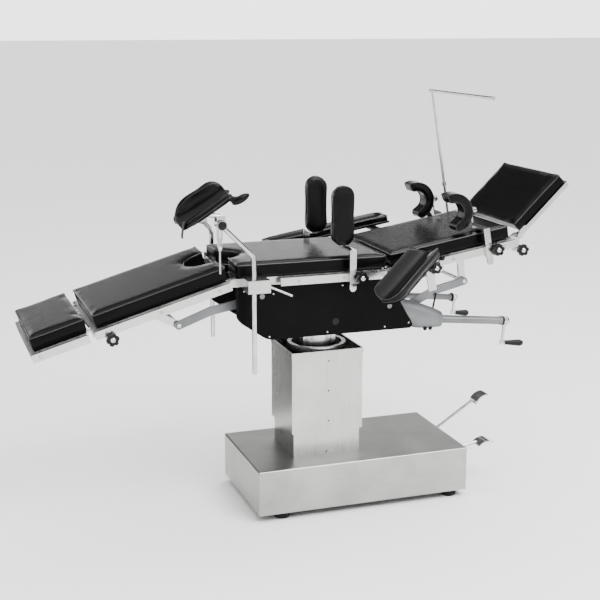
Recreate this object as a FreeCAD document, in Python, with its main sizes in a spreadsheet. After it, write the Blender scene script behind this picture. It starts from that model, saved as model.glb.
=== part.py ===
import FreeCAD, Part
import math
import os
import Sketcher
from types import SimpleNamespace
from FreeCAD import Placement, Rotation, Vector

# Operating table with leg, seat, back and head sections on a telescoping column.
# Frame: origin on the floor under the base's centre, +X towards the head end,
# +Y to the far side, +Z up. Lengths are millimetres, angles are degrees.

doc = FreeCAD.newDocument("OperatingTable")
sheet = doc.addObject("Spreadsheet::Sheet", "Sizes")

driving_sizes = {
    # base on its feet
    "base_length": 892, "base_width": 500, "base_height": 180, "base_wall": 3, "base_edge": 6,
    "foot_height": 30, "foot_radius": 32, "foot_chamfer": 5, "foot_inset": 45,
    "foot_foot_end": 340, "foot_head_end": 385, "floor_plate": 12,
    # telescoping column
    "column_x": -123, "column_length": 279, "column_width": 251, "column_height": 310,
    "column_wall": 3, "sleeve_length": 298, "sleeve_width": 267, "sleeve_bottom": 308,
    "sleeve_drop": 319, "sleeve_height": "=table_z - sleeve_drop - sleeve_bottom",
    "sleeve_wall": 3, "sleeve_seam": 0.4, "rim_height": 20, "rim_step": 2,
    "ram_radius": 60, "ram_drop": 131, "ram_top": "=sleeve_bottom + sleeve_height - ram_drop",
    "piston_radius": 35, "piston_bottom": 250,
    "piston_flange": 75, "piston_flange_thick": 8, "top_plate": 5, "top_recess": 24,
    # tilting head of the column
    "tilt_drop": 180, "tilt_z": "=table_z - tilt_drop", "ring_radius": 118, "ring_wall": 16,
    "ring_height": 34, "pillar_radius": 62,
    "pillar_drop": 58, "pillar_top": "=tilt_z - pillar_drop",
    "ear_gap": 96, "ear_thick": 20, "ear_width": 70, "ear_crown": 24,
    "tilt_pin": 14, "cross_width": 76, "cross_height": 50, "trunnion_boss": 30,
    "trunnion_boss_thick": 22, "running_gap": 0.05, "free_gap": 0.3, "side_play": 1,
    # section frames, rails and cushions, measured from the hinge line
    "table_z": 960, "mattress_width": 476, "cushion_thick": 54, "board_thick": 3,
    "bar_height": 30, "bar_thick": 12, "bar_inset": 24, "cross_bar": 24,
    "bar_half_gap": "=mattress_width / 2 - bar_inset",
    "hinge_pin": 8, "hinge_head": 12, "hinge_head_thick": 6, "rail_gap": 14,
    "rail_half_gap": "=mattress_width / 2 + rail_gap",
    "rail_thick": 10, "post_radius": 9, "bore_play": 0.05,
    # sections along the table
    "back_hinge_x": 86, "leg_hinge_x": -538, "back_angle": 9.5, "leg_angle": 16.2,
    "head_angle": 44, "board_setback": 18, "cushion_setback": 6,
    "seat_cushion_foot": 16, "seat_cushion_head": 1, "seat_rail_foot": -358,
    "back_cushion_start": 14.2, "back_cushion_end": 544, "back_rail_end": 548, "head_hinge_along": 583,
    "head_hinge_up": 20, "leg_cushion_end": 533, "leg_bar_end": 545, "leg_rail_start": 12,
    "foot_cushion_start": 555, "foot_cushion_end": 770, "foot_bar_end": 777,
    "head_length": 291, "head_cushion_thick": 45, "head_cushion_low": 11,
    "head_cushion_start": 4, "head_pin": 6, "head_bar_height": 24, "head_bar_thick": 8, "head_hub": 11,
    "head_hub_reach": 18,
    "head_hub_out": "=bar_half_gap + head_hub_reach", "head_stud_back": 12, "head_stud_down": 32,
    "head_stud_boss": 10,
    "head_boss_gap": 2, "head_stud_boss_end": "=rail_half_gap - head_boss_gap",
    # perineal cut-out
    "seat_notch_radius": 180, "seat_notch_back": 94.6, "seat_notch_shift": 60,
    "leg_notch_radius": 94, "leg_notch_back": 4,
    # drive housing
    "housing_wall": 5, "housing_offset": 3, "housing_half_gap": "=bar_half_gap + housing_offset",
    "housing_flange": 26, "housing_foot": -514,
    "housing_head": 66, "housing_shoulder_x": 112, "housing_shoulder_drop": 60,
    "housing_shoulder_z": "=table_z - housing_shoulder_drop",
    "housing_corner_x": 210, "housing_depth": 230, "housing_bottom": "=table_z - housing_depth",
    "housing_left_low": -400,
    "housing_left_drop": 150, "housing_left_high": "=table_z - housing_left_drop",
    "housing_round": 40, "housing_small_round": 14,
    "brace_wall": 4, "brace_height": 30, "brace_foot_x": -372, "brace_foot_length": 34,
    "brace_head_x": 75, "brace_head_length": 60,
    # levers and links of the leg and back drives
    "lever_width": 32, "lever_thick": 12, "lever_half_gap": 122, "lever_shaft": 10,
    "link_width": 28, "link_thick": 12, "link_half_gap": 108, "link_pin": 8,
    "lug_thick": 11.7, "lug_half_gap": 95, "open_pivot_pin": 6.5,
    "leg_pivot_along": 321, "leg_pivot_down": 20, "leg_link_x": 118.6, "leg_link_z": 59.2,
    "leg_lever_knee_x": -485, "leg_lever_knee_drop": 102,
    "leg_lever_knee_z": "=table_z - leg_lever_knee_drop", "leg_lever_mid_x": -597,
    "leg_lever_mid_drop": 122, "leg_lever_mid_z": "=table_z - leg_lever_mid_drop",
    "back_pivot_along": 368, "back_pivot_down": 4,
    "back_link_x": 16, "back_link_z": 135, "back_lever_dip_x": 228, "back_lever_dip_drop": 157,
    "back_lever_dip_z": "=table_z - back_lever_dip_drop",
    "back_lever_mid_x": 340, "back_lever_mid_drop": 108,
    "back_lever_mid_z": "=table_z - back_lever_mid_drop",
    # crank drives
    "casting_inset": 37, "crank_y": "=housing_half_gap - casting_inset", "casting_end_x": 338,
    "casting_end_drop": 215, "casting_end_z": "=table_z - casting_end_drop", "casting_end_radius": 32,
    "casting_mid_x": 245, "casting_mid_drop": 194,
    "casting_mid_z": "=table_z - casting_mid_drop", "casting_mid_radius": 50,
    "casting_root_radius": 66, "casting_half_depth": 33, "crank_slope": 6,
    "tube_radius": 16, "tube_length": 280, "collar_radius": 18, "collar_length": 8,
    "crank_elbow": 32, "crank_arm": 92, "crank_arm_thick": 16, "crank_arm_tip": 11,
    "grip_length": 82, "grip_small": 9, "grip_big": 14, "grip_pin": 5,
    "far_casting_end_drop": 195, "far_casting_end_z": "=table_z - far_casting_end_drop",
    "far_casting_end_radius": 25,
    "far_tube_radius": 13, "far_tube_length": 224, "far_crank_arm": 68, "far_grip_length": 62,
    "clutch_radius": 4, "clutch_x": 330, "clutch_inset": 39, "clutch_y": "=crank_y - clutch_inset",
    "clutch_drop": 192, "clutch_z": "=table_z - clutch_drop",
    # pedals
    "lift_pedal_y": 100, "lift_pedal_pivot_z": 121, "lift_pedal_slope": 32.5,
    "lift_pedal_rod": 310, "release_pedal_y": -100, "release_pedal_pivot_z": 142,
    "release_pedal_slope": 9, "release_pedal_rod": 185, "pedal_pivot_x": 380,
    "pedal_rod": 7, "pedal_hub": 13, "pedal_hub_width": 20, "pedal_pin": 6,
    "tread_length": 74, "tread_width": 66, "tread_thick": 5, "tread_rise": 14,
    "pedal_slot_width": 26, "pedal_slot_height": 54,
    # rail clamps, strips and star knobs
    "clamp_length": 56, "clamp_lip": 9, "strip_offset": 13, "knob_offset": 16,
    "clamp_hook": 4, "clamp_back": "=rail_half_gap - clamp_hook",
    "clamp_wall": 14, "clamp_front": "=rail_half_gap + rail_thick + clamp_wall",
    "strip_gap": 3, "strip_half_gap": "=rail_half_gap + rail_thick + strip_gap",
    "strip_width": 26, "strip_thick": 6, "stud_radius": 5,
    "knob_radius": 24, "knob_thick": 16, "knob_hub": 13, "knob_hub_length": 8,
    "knob_scallop": 7, "knob_lobes": 6, "knob_seat": "=clamp_front + knob_hub_length + free_gap",
    "foot_knob_along": 489, "foot_knob_down": 28, "foot_knob_gap": 1,
    "foot_knob_seat": "=rail_half_gap + rail_thick + foot_knob_gap + knob_hub_length",
    # side supports
    "side_support_x": -72, "side_strip_low": 42, "side_strip_top": 106,
    "side_pad_inset": 105, "side_pad_half_gap": "=mattress_width / 2 - side_pad_inset",
    "side_pad_thick": 34, "side_pad_width": 92,
    "side_pad_height": 240, "side_pad_low": 101,
    # shoulder supports
    "shoulder_along": 423, "shoulder_strip_low": 45, "shoulder_strip_top": 90,
    "shoulder_pad_inset": 58, "shoulder_pad_y": "=mattress_width / 2 - shoulder_pad_inset",
    "shoulder_pad_depth": 66, "shoulder_pad_along": 320,
    "shoulder_pad_up": 163, "shoulder_pad_outer": 84, "shoulder_pad_inner": 42,
    "shoulder_pad_first": -72, "shoulder_pad_last": 104,
    # arm boards
    "arm_along": 178, "arm_post_reach": 38, "arm_post_y": "=rail_half_gap + arm_post_reach",
    "arm_post_radius": 11, "arm_post_top": 46,
    "arm_strip_width": 34, "arm_strip_low": 90, "arm_strip_offset": 22,
    "near_arm_swing": 31, "near_arm_drop": 28, "near_arm_roll": -5, "arm_board_length": 345,
    "arm_board_start": 32, "arm_board_width": 132, "arm_pad_thick": 42, "arm_tray_thick": 6,
    "arm_bar_width": 30, "arm_ball": 13, "arm_rib_depth": 11, "arm_gutter_floor": 17,
    "far_arm_width": 125, "far_arm_thick": 30, "far_arm_round": 20, "far_arm_lift": 10,
    "far_arm_reach": 105, "far_arm_y": "=rail_half_gap + far_arm_reach", "far_arm_from": 261,
    "far_arm_length": 560,
    # leg crutches
    "crutch_x": -475, "crutch_reach": 48, "crutch_y": "=rail_half_gap + crutch_reach",
    "crutch_low": 330, "crutch_bend": 112,
    "crutch_rod": 9, "crutch_bend_radius": 45, "crutch_arm_out": 127, "crutch_arm_rise": 126,
    "far_crutch_arm_out": 38, "far_crutch_arm_rise": 46, "far_crutch_pad_rise": 107,
    "knuckle_radius": 15, "knuckle_width": 44, "crutch_fork_plate": 5, "crutch_fork_height": 33,
    "crutch_knob_radius": 18, "crutch_knob_length": 14, "crutch_stem_radius": 9,
    "shackle_width": 21, "shackle_depth": 10, "shackle_length": 52, "shackle_slot": 6,
    "crutch_pad_wall": 20, "crutch_pad_tilt": 30, "crutch_pad_roll": 24, "crutch_pad_rise": 118,
    "crutch_pad_slide": -24, "far_crutch_pad_slide": -2, "shackle_offset": 9,
    "crutch_lobe_length": 40, "crutch_lobe_depth": 16, "crutch_lobe_height": 19,
    "handle_radius": 4.5, "handle_length": 120,
    # anaesthesia screen
    "screen_along": 520, "screen_reach": 38, "screen_y": "=rail_half_gap + screen_reach",
    "screen_rod": 6, "screen_low": 42, "screen_collar": 172,
    "screen_height": 585, "screen_bar": 560, "screen_bar_radius": 6.5, "screen_cap": 8,
}
for row, (alias, number) in enumerate(driving_sizes.items(), 1):
    sheet.set("A%d" % row, alias)
    sheet.set("B%d" % row, str(number))
    sheet.setAlias("B%d" % row, alias)
doc.recompute()


class Size:
    """A size that carries its spreadsheet formula and its present value."""

    def __init__(self, formula, value):
        self.formula = formula
        self.value = value

    def _with(self, sign, other, value):
        return Size("(%s %s %s)" % (self.formula, sign, size_of(other).formula), value)

    def __add__(self, other):
        return self._with("+", other, self.value + size_of(other).value)

    def __sub__(self, other):
        return self._with("-", other, self.value - size_of(other).value)

    def __mul__(self, other):
        return self._with("*", other, self.value * size_of(other).value)

    def __truediv__(self, other):
        return self._with("/", other, self.value / size_of(other).value)

    def __radd__(self, other):
        return size_of(other) + self

    def __rsub__(self, other):
        return size_of(other) - self

    def __rmul__(self, other):
        return size_of(other) * self

    def __neg__(self):
        return Size("(0 - %s)" % self.formula, -self.value)

    def __float__(self):
        return float(self.value)


def size_of(item):
    return item if isinstance(item, Size) else Size("(%r)" % item, float(item))


def sine(angle):
    return Size("sin(%s)" % angle.formula, math.sin(math.radians(angle.value)))


def cosine(angle):
    return Size("cos(%s)" % angle.formula, math.cos(math.radians(angle.value)))


d = SimpleNamespace(**{alias: Size("Sizes." + alias, float(sheet.get(alias))) for alias in driving_sizes})


def bind(item, **sizes):
    """Binds properties of an object to formulas of the sheet."""
    for path, size in sizes.items():
        item.setExpression(path.replace("_at_", "Placement.Base."), size_of(size).formula)
    return item


counter = iter(range(1, 100000))


def new(kind, name="piece"):
    return doc.addObject(kind, "%s_%d" % (name, next(counter)))


def box(x, y, z, length, width, height):
    """A block with its lowest corner at x, y, z."""
    block = new("Part::Box")
    return bind(block, _at_x=x, _at_y=y, _at_z=z, Length=length, Width=width, Height=height)


AXIS_TURNS = {
    "x": Rotation(Vector(0, 1, 0), 90),
    "y": Rotation(Vector(1, 0, 0), -90),
    "z": Rotation(),
}


def rod(axis, x, y, z, radius, length):
    """A round bar that starts at x, y, z and runs along +X, +Y or +Z."""
    bar = new("Part::Cylinder")
    bar.Placement = Placement(Vector(), AXIS_TURNS[axis])
    return bind(bar, _at_x=x, _at_y=y, _at_z=z, Radius=radius, Height=length)


def cone(axis, x, y, z, radius1, radius2, length):
    taper = new("Part::Cone")
    taper.Placement = Placement(Vector(), AXIS_TURNS[axis])
    return bind(taper, _at_x=x, _at_y=y, _at_z=z, Radius1=radius1, Radius2=radius2, Height=length)


def ball(x, y, z, radius):
    return bind(new("Part::Sphere"), _at_x=x, _at_y=y, _at_z=z, Radius=radius)


def fuse(*pieces):
    joined = new("Part::MultiFuse")
    joined.Shapes = list(pieces)
    joined.Refine = True
    return joined


def common(first, second):
    shared = new("Part::MultiCommon")
    shared.Shapes = [first, second]
    return shared


def cut(base, *tools):
    """The base with every tool taken away."""
    for tool in tools:
        rest = new("Part::Cut")
        rest.Base = base
        rest.Tool = tool
        base = rest
    return base


def together(*pieces):
    """Separate solids that share one node."""
    bundle = new("Part::Compound")
    bundle.Links = list(pieces)
    return bundle


def span(side, low, high):
    """Start and width along Y of a band from low to high on one side of the table."""
    width = high - low
    return (low, width) if side > 0 else (-1 * high, width)


def side_box(side, x, low, z, length, high, height):
    start, width = span(side, size_of(low), size_of(high))
    return box(x, start, z, length, width, height)


def side_rod(side, x, low, z, radius, high):
    start, width = span(side, size_of(low), size_of(high))
    return rod("y", x, start, z, radius, width)


PLANES = {"xy": "XY_Plane", "xz": "XZ_Plane", "yz": "YZ_Plane"}


def sketch(body, plane, points, offset=0):
    """A closed outline of straight lines, each corner held by two dimensions."""
    role = PLANES[plane]
    support = [item for item in body.Origin.OriginFeatures if item.Role == role][0]
    drawing = body.newObject("Sketcher::SketchObject", body.Name + "_outline")
    drawing.AttachmentSupport = [(support, "")]
    drawing.MapMode = "FlatFace"
    drawing.setExpression("AttachmentOffset.Base.z", size_of(offset).formula)
    corners = [(size_of(u), size_of(v)) for u, v in points]
    spots = [Vector(u.value, v.value, 0) for u, v in corners]
    count = len(spots)
    for index, spot in enumerate(spots):
        drawing.addGeometry(Part.LineSegment(spot, spots[(index + 1) % count]), False)
    for index, (u, v) in enumerate(corners):
        drawing.addConstraint(Sketcher.Constraint("Coincident", index, 2, (index + 1) % count, 1))
        for kind, size in (("DistanceX", u), ("DistanceY", v)):
            number = drawing.addConstraint(Sketcher.Constraint(kind, -1, 1, index, 1, size.value))
            drawing.setExpression("Constraints[%d]" % number, size.formula)
    return drawing


def pad(body, drawing, length, reverse=False):
    feature = body.newObject("PartDesign::Pad", body.Name + "_pad")
    feature.Profile = drawing
    feature.Reversed = reverse
    bind(feature, Length=length)
    return feature


def pocket(body, drawing, depth, reverse=False):
    """A pocket that has to take something away."""
    doc.recompute()
    before = body.Tip.Shape.Volume
    feature = body.newObject("PartDesign::Pocket", body.Name + "_pocket")
    feature.Profile = drawing
    feature.Reversed = reverse
    bind(feature, Length=depth)
    doc.recompute()
    if feature.Shape.Volume > before - 1:
        raise RuntimeError("pocket cuts nothing: " + body.Label)
    return feature


def round_edges(body, radius, wanted):
    """Rounds the edges of the body's last feature for which wanted(edge) is true."""
    doc.recompute()
    base = body.Tip
    names = ["Edge%d" % (i + 1) for i, edge in enumerate(base.Shape.Edges) if wanted(edge)]
    feature = body.newObject("PartDesign::Fillet", body.Name + "_round")
    feature.Base = (base, names)
    bind(feature, Radius=radius)
    return feature


def runs_along(edge, axis):
    if edge.Curve.TypeId != "Part::GeomLine":
        return False
    return abs(abs(edge.tangentAt(edge.FirstParameter).dot(axis)) - 1) < 1e-6


def near_corner(edge, u, v):
    """True where an edge along Y passes the point u, v of the XZ plane."""
    middle = edge.CenterOfMass
    return math.hypot(middle.x - float(u), middle.z - float(v)) < 0.01


def side_plate(name, side, points, low, high, rounds=()):
    """A plate parallel to the XZ plane with some corners rounded, made as one body."""
    body = doc.addObject("PartDesign::Body", name)
    start, width = span(side, size_of(low), size_of(high))
    drawing = sketch(body, "xz", points, -1 * start)
    pad(body, drawing, width, reverse=True)
    for corner, radius in rounds:
        u, v = points[corner]
        round_edges(body, radius, lambda edge: runs_along(edge, Vector(0, 1, 0)) and near_corner(edge, u, v))
    return body


def fixed_shape(shape):
    """A shape that is worked out with the sheet's values."""
    feature = new("Part::Feature")
    feature.Shape = shape
    return feature


nodes = []


def node(name, item, placement=None):
    """Names a finished sub-part and puts it in its place."""
    if placement is not None:
        item.Placement = placement
    item.Label = name
    nodes.append(item)
    return item


def turned(x, z, angle, y=0):
    """A place on the table whose X axis is turned up by an angle."""
    return Placement(Vector(float(x), float(y), float(z)), Rotation(Vector(0, 1, 0), -float(angle)))


SIDES = (("near", -1), ("far", 1))
seat_place = turned(0, d.table_z, 0)
back_place = turned(d.back_hinge_x, d.table_z, d.back_angle)
leg_place = turned(d.leg_hinge_x, d.table_z, d.leg_angle)
head_origin = back_place.multVec(Vector(float(d.head_hinge_along), 0, float(d.head_hinge_up)))
head_place = turned(head_origin.x, head_origin.z, d.head_angle)

base_top = d.foot_height + d.base_height
half_mattress = d.mattress_width / 2
bar_outer = d.bar_half_gap + d.bar_thick
inner_bar_high = d.bar_half_gap - d.free_gap
inner_bar_low = inner_bar_high - d.bar_thick
rail_outer = d.rail_half_gap + d.rail_thick
half_bar = d.bar_height / 2
cushion_low = half_bar + d.board_thick


# Base


def base_cover():
    body = doc.addObject("PartDesign::Body", "base_cover")
    x, y = d.base_length / 2, d.base_width / 2
    pad(body, sketch(body, "xy", [(-x, -y), (x, -y), (x, y), (-x, y)], d.foot_height), d.base_height)
    top = float(base_top)
    round_edges(body, d.base_edge, lambda edge: runs_along(edge, Vector(0, 0, 1))
                or abs(edge.BoundBox.ZMin - top) < 0.01)
    x, y = x - d.base_wall, y - d.base_wall
    inside = sketch(body, "xy", [(-x, -y), (x, -y), (x, y), (-x, y)], d.foot_height)
    pocket(body, inside, d.base_height - d.base_wall, reverse=True)
    half_x, half_y = d.column_length / 2 - 3 * d.column_wall, d.column_width / 2 - 3 * d.column_wall
    low, high = d.column_x - half_x, d.column_x + half_x
    well = sketch(body, "xy", [(low, -half_y), (high, -half_y), (high, half_y), (low, half_y)], base_top)
    pocket(body, well, 2 * d.base_wall)
    for y, z, slope in ((d.lift_pedal_y, d.lift_pedal_pivot_z, d.lift_pedal_slope),
                        (d.release_pedal_y, d.release_pedal_pivot_z, d.release_pedal_slope)):
        reach = d.base_length / 2 - d.pedal_pivot_x
        top = z + reach * sine(slope) / cosine(slope) + 1.6 * d.pedal_rod
        left, right = y - d.pedal_slot_width / 2, y + d.pedal_slot_width / 2
        low = top - d.pedal_slot_height
        slot = sketch(body, "yz", [(left, low), (right, low), (right, top), (left, top)], d.base_length / 2)
        pocket(body, slot, 2 * d.base_wall)
    return body


def base_plate():
    """Heavy floor plate with the bearing lugs of the two pedals."""
    x, y = d.base_length / 2 - d.base_wall, d.base_width / 2 - d.base_wall
    pieces = [box(-x, -y, d.foot_height, 2 * x, 2 * y, d.floor_plate)]
    floor = d.foot_height + d.floor_plate
    for y, z in ((d.lift_pedal_y, d.lift_pedal_pivot_z), (d.release_pedal_y, d.release_pedal_pivot_z)):
        for side in (-1, 1):
            low = d.pedal_hub_width / 2 + d.side_play
            start, width = span(side, low, low + d.board_thick * 2)
            pieces.append(box(d.pedal_pivot_x - d.pedal_hub, y + start, floor, 2 * d.pedal_hub, width,
                              z - floor))
            pieces.append(rod("y", d.pedal_pivot_x, y + start, z, d.pedal_hub, width))
        half = d.pedal_hub_width / 2 + d.side_play
        pieces.append(rod("y", d.pedal_pivot_x, y - half, z, d.pedal_pin, 2 * half))
    return fuse(*pieces)


def base_feet():
    feet = []
    for x in (-d.foot_foot_end, d.foot_head_end):
        for side in (-1, 1):
            y = side * (d.base_width / 2 - d.foot_inset)
            sole = cone("z", x, y, 0, d.foot_radius - d.foot_chamfer, d.foot_radius, d.foot_chamfer)
            stem = rod("z", x, y, d.foot_chamfer, d.foot_radius, d.foot_height - d.foot_chamfer)
            feet.append(fuse(sole, stem))
    return together(*feet)


def pedal(y, z, slope, length):
    """A pedal lever drawn level from its pivot, with a curved tread at its end."""
    hub = cut(rod("y", 0, -d.pedal_hub_width / 2, 0, d.pedal_hub, d.pedal_hub_width),
              rod("y", 0, -d.pedal_hub_width, 0, d.pedal_pin + d.running_gap, 2 * d.pedal_hub_width))
    arm_start = d.pedal_hub - 2
    arm = rod("x", arm_start, 0, 0, d.pedal_rod, length - arm_start)
    half = d.tread_length / 2
    reach = (half.value ** 2 + d.tread_rise.value ** 2) / (2 * d.tread_rise.value)
    bow = Part.makeCylinder(reach, d.tread_width.value, Vector(0, -d.tread_width.value / 2, 0),
                            Vector(0, 1, 0))
    inner = Part.makeCylinder(reach - d.tread_thick.value, 2 * d.tread_width.value,
                              Vector(0, -d.tread_width.value, 0), Vector(0, 1, 0))
    window = Part.makeBox(d.tread_length.value, d.tread_width.value, 2 * d.tread_rise.value,
                          Vector(-half.value, -d.tread_width.value / 2, reach - d.tread_rise.value))
    tread = bow.cut(inner).common(window)
    tread.Placement = Placement(Vector(length.value + half.value - 4, 0, 5 - reach), Rotation())
    lever = fuse(hub, arm, fixed_shape(tread))
    return lever, Placement(Vector(float(d.pedal_pivot_x), float(y), float(z)),
                            Rotation(Vector(0, 1, 0), -float(slope)))


node("base_cover", base_cover())
node("base_feet", base_feet())
node("lift_pedal", *pedal(d.lift_pedal_y, d.lift_pedal_pivot_z, d.lift_pedal_slope, d.lift_pedal_rod))
node("release_pedal", *pedal(d.release_pedal_y, d.release_pedal_pivot_z, d.release_pedal_slope,
                             d.release_pedal_rod))


# Column


def square_tube(x, z, length, width, height, wall):
    outer = box(x - length / 2, -width / 2, z, length, width, height)
    inner = box(x - length / 2 + wall, -width / 2 + wall, z - 1, length - 2 * wall, width - 2 * wall,
                height + 2)
    return cut(outer, inner)


def sleeve_half(side):
    """One bent half of the outer sleeve, with the folded rim at its top."""
    length, width = d.sleeve_length / 2 - d.sleeve_seam / 2, d.sleeve_width
    start = d.column_x + d.sleeve_seam / 2 if side > 0 else d.column_x - d.sleeve_length / 2
    skin = box(start, -width / 2, d.sleeve_bottom, length, width, d.sleeve_height)
    rim_start = start if side > 0 else start - d.rim_step
    rim = box(rim_start, -width / 2 - d.rim_step, d.sleeve_bottom + d.sleeve_height - d.rim_height,
              length + d.rim_step, width + 2 * d.rim_step, d.rim_height)
    inner = box(d.column_x - d.sleeve_length / 2 + d.sleeve_wall, -width / 2 + d.sleeve_wall,
                d.sleeve_bottom - 1, d.sleeve_length - 2 * d.sleeve_wall, width - 2 * d.sleeve_wall,
                d.sleeve_height + 2)
    return cut(fuse(skin, rim), inner)


sleeve_top = d.sleeve_bottom + d.sleeve_height
plate_top = sleeve_top - d.top_recess
floor_top = d.foot_height + d.floor_plate


def hydraulic_ram():
    outer = rod("z", d.column_x, 0, floor_top, d.ram_radius, d.ram_top - floor_top)
    bore_floor = floor_top + d.ram_radius / 2
    bore = rod("z", d.column_x, 0, bore_floor, d.piston_radius + d.running_gap, d.ram_top - bore_floor + 1)
    return cut(outer, bore)


node("base_plate", fuse(base_plate(), hydraulic_ram()))


def lift_piston():
    under = plate_top - d.top_plate
    stem = rod("z", d.column_x, 0, d.piston_bottom, d.piston_radius, under - d.piston_bottom)
    flange = rod("z", d.column_x, 0, under - d.piston_flange_thick, d.piston_flange, d.piston_flange_thick)
    return fuse(stem, flange)


def tilt_pillar():
    """Pillar inside the ring, with two ears that hold the cross from the foot and head sides."""
    pieces = [rod("z", d.column_x, 0, plate_top, d.pillar_radius, d.pillar_top - plate_top)]
    for side in (-1, 1):
        inner = d.ear_gap / 2
        start = d.column_x + inner if side > 0 else d.column_x - inner - d.ear_thick
        foot = plate_top
        pieces.append(box(start, -d.ear_width / 2, foot, d.ear_thick, d.ear_width, d.tilt_z - foot))
        pieces.append(rod("x", start, 0, d.tilt_z, d.ear_width / 2, d.ear_thick))
    bore = rod("x", d.column_x - d.ear_gap, 0, d.tilt_z, d.tilt_pin + d.running_gap, 2 * d.ear_gap)
    return cut(fuse(*pieces), bore)


def tilt_cross():
    """Block with a shaft along X in the ears and a long shaft along Y in the housing."""
    length = d.ear_gap - 2 * d.side_play
    block = box(d.column_x - length / 2, -d.cross_width / 2, d.tilt_z - d.cross_height / 2,
                length, d.cross_width, d.cross_height)
    reach = d.ear_gap / 2 + d.ear_thick + d.side_play
    along = rod("x", d.column_x - reach, 0, d.tilt_z, d.tilt_pin, 2 * reach)
    half = d.housing_half_gap + d.housing_wall - d.side_play
    across = rod("y", d.column_x, -half, d.tilt_z, d.tilt_pin, 2 * half)
    return fuse(block, along, across)


node("column_cover", square_tube(d.column_x, base_top, d.column_length, d.column_width,
                                 d.column_height, d.column_wall))
node("column_sleeve", together(sleeve_half(-1), sleeve_half(1)))
tilt_ring = cut(rod("z", d.column_x, 0, plate_top, d.ring_radius, d.ring_height),
                rod("z", d.column_x, 0, plate_top - 1, d.ring_radius - d.ring_wall, d.ring_height + 2))
node("sleeve_top", box(d.column_x - d.sleeve_length / 2 + d.sleeve_wall, -d.sleeve_width / 2 + d.sleeve_wall,
                       plate_top - d.top_plate, d.sleeve_length - 2 * d.sleeve_wall,
                       d.sleeve_width - 2 * d.sleeve_wall, d.top_plate))
node("tilt_head", together(tilt_ring, tilt_pillar(), lift_piston()))
node("tilt_cross", tilt_cross())


# Drive housing under the seat


def housing_cover(side):
    """Pressed side cover with a turned-in flange, a bearing boss and bores for the lever shafts."""
    name = "housing_cover_side"
    outline = [(d.housing_foot, d.table_z - half_bar), (d.housing_head, d.table_z - half_bar),
               (d.housing_shoulder_x, d.housing_shoulder_z), (d.housing_corner_x, d.housing_bottom),
               (d.housing_left_low, d.housing_bottom), (d.housing_foot, d.housing_left_high)]
    outer = side_plate(name, side, outline, d.housing_half_gap - d.housing_flange,
                       d.housing_half_gap + d.housing_wall,
                       ((3, d.housing_small_round), (4, 2 * d.housing_round), (5, d.housing_round)))
    doc.recompute()
    face = [f for f in outer.Shape.Faces
            if abs(f.CenterOfMass.y - side * float(d.housing_half_gap - d.housing_flange)) < 0.01][0]
    wire = face.OuterWire.makeOffset2D(-float(d.housing_wall))
    hollow = Part.Face(wire).extrude(Vector(0, side * float(d.housing_flange), 0))
    shell = cut(outer, fixed_shape(hollow))
    boss = side_rod(side, d.column_x, d.housing_half_gap - d.trunnion_boss_thick, d.tilt_z,
                    d.trunnion_boss, d.housing_half_gap)
    high = d.housing_half_gap + d.housing_wall + 1
    low = d.housing_half_gap - d.housing_flange - 1
    bores = [side_rod(side, d.column_x, low, d.tilt_z, d.tilt_pin + d.running_gap, high)]
    for x, z in (leg_lever_pivot, back_lever_pivot):
        bores.append(side_rod(side, x, low, z, d.lever_shaft + d.running_gap, high))
    return cut(fuse(shell, boss), *bores)


def housing_braces():
    """Two angle braces that tie the covers together, clear of the column."""
    half = d.housing_half_gap - d.housing_flange
    pieces = []
    for x, length, wall_x in ((d.brace_foot_x, d.brace_foot_length,
                               d.brace_foot_x + d.brace_foot_length - d.brace_wall),
                              (d.brace_head_x, d.brace_head_length, d.brace_head_x)):
        web = box(x, -half, d.housing_bottom, length, 2 * half, d.brace_wall)
        wall = box(wall_x, -half, d.housing_bottom, d.brace_wall, 2 * half, d.brace_height)
        pieces.append(fuse(web, wall))
    return together(*pieces)


leg_lever_pivot = (d.leg_hinge_x + d.leg_link_x, d.table_z - d.leg_link_z)
back_lever_pivot = (d.back_hinge_x + d.back_link_x, d.table_z - d.back_link_z)

node("housing_covers", together(housing_cover(-1), housing_cover(1), housing_braces()))


# Section frames


def rounded_bar(side, low, high, start, end, round_start=True, round_end=False):
    """A flat side bar whose ends may be round about a hinge line at z = 0."""
    pieces = [side_box(side, start, low, -half_bar, end - start, high, d.bar_height)]
    if round_start:
        pieces.append(side_rod(side, start, low, 0, half_bar, high))
    if round_end:
        pieces.append(side_rod(side, end, low, 0, half_bar, high))
    return pieces


def cross_bar(x, half):
    return box(x - d.cross_bar / 2, -half, -d.cross_bar / 2, d.cross_bar, 2 * half, d.cross_bar)


def rail_posts(positions, low):
    """Bushes that carry the accessory rail off a side bar."""
    return [side_rod(side, x, low, 0, d.post_radius, d.rail_half_gap)
            for x in positions for _, side in SIDES]


def notch_prism(low, height):
    """Pointed end of the perineal cut-out in the seat."""
    x = d.leg_hinge_x + d.seat_cushion_foot - d.seat_notch_back
    left, right = (rod("z", x, side * d.seat_notch_shift, low, d.seat_notch_radius, height)
                   for side in (-1, 1))
    return common(left, right)


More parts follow.
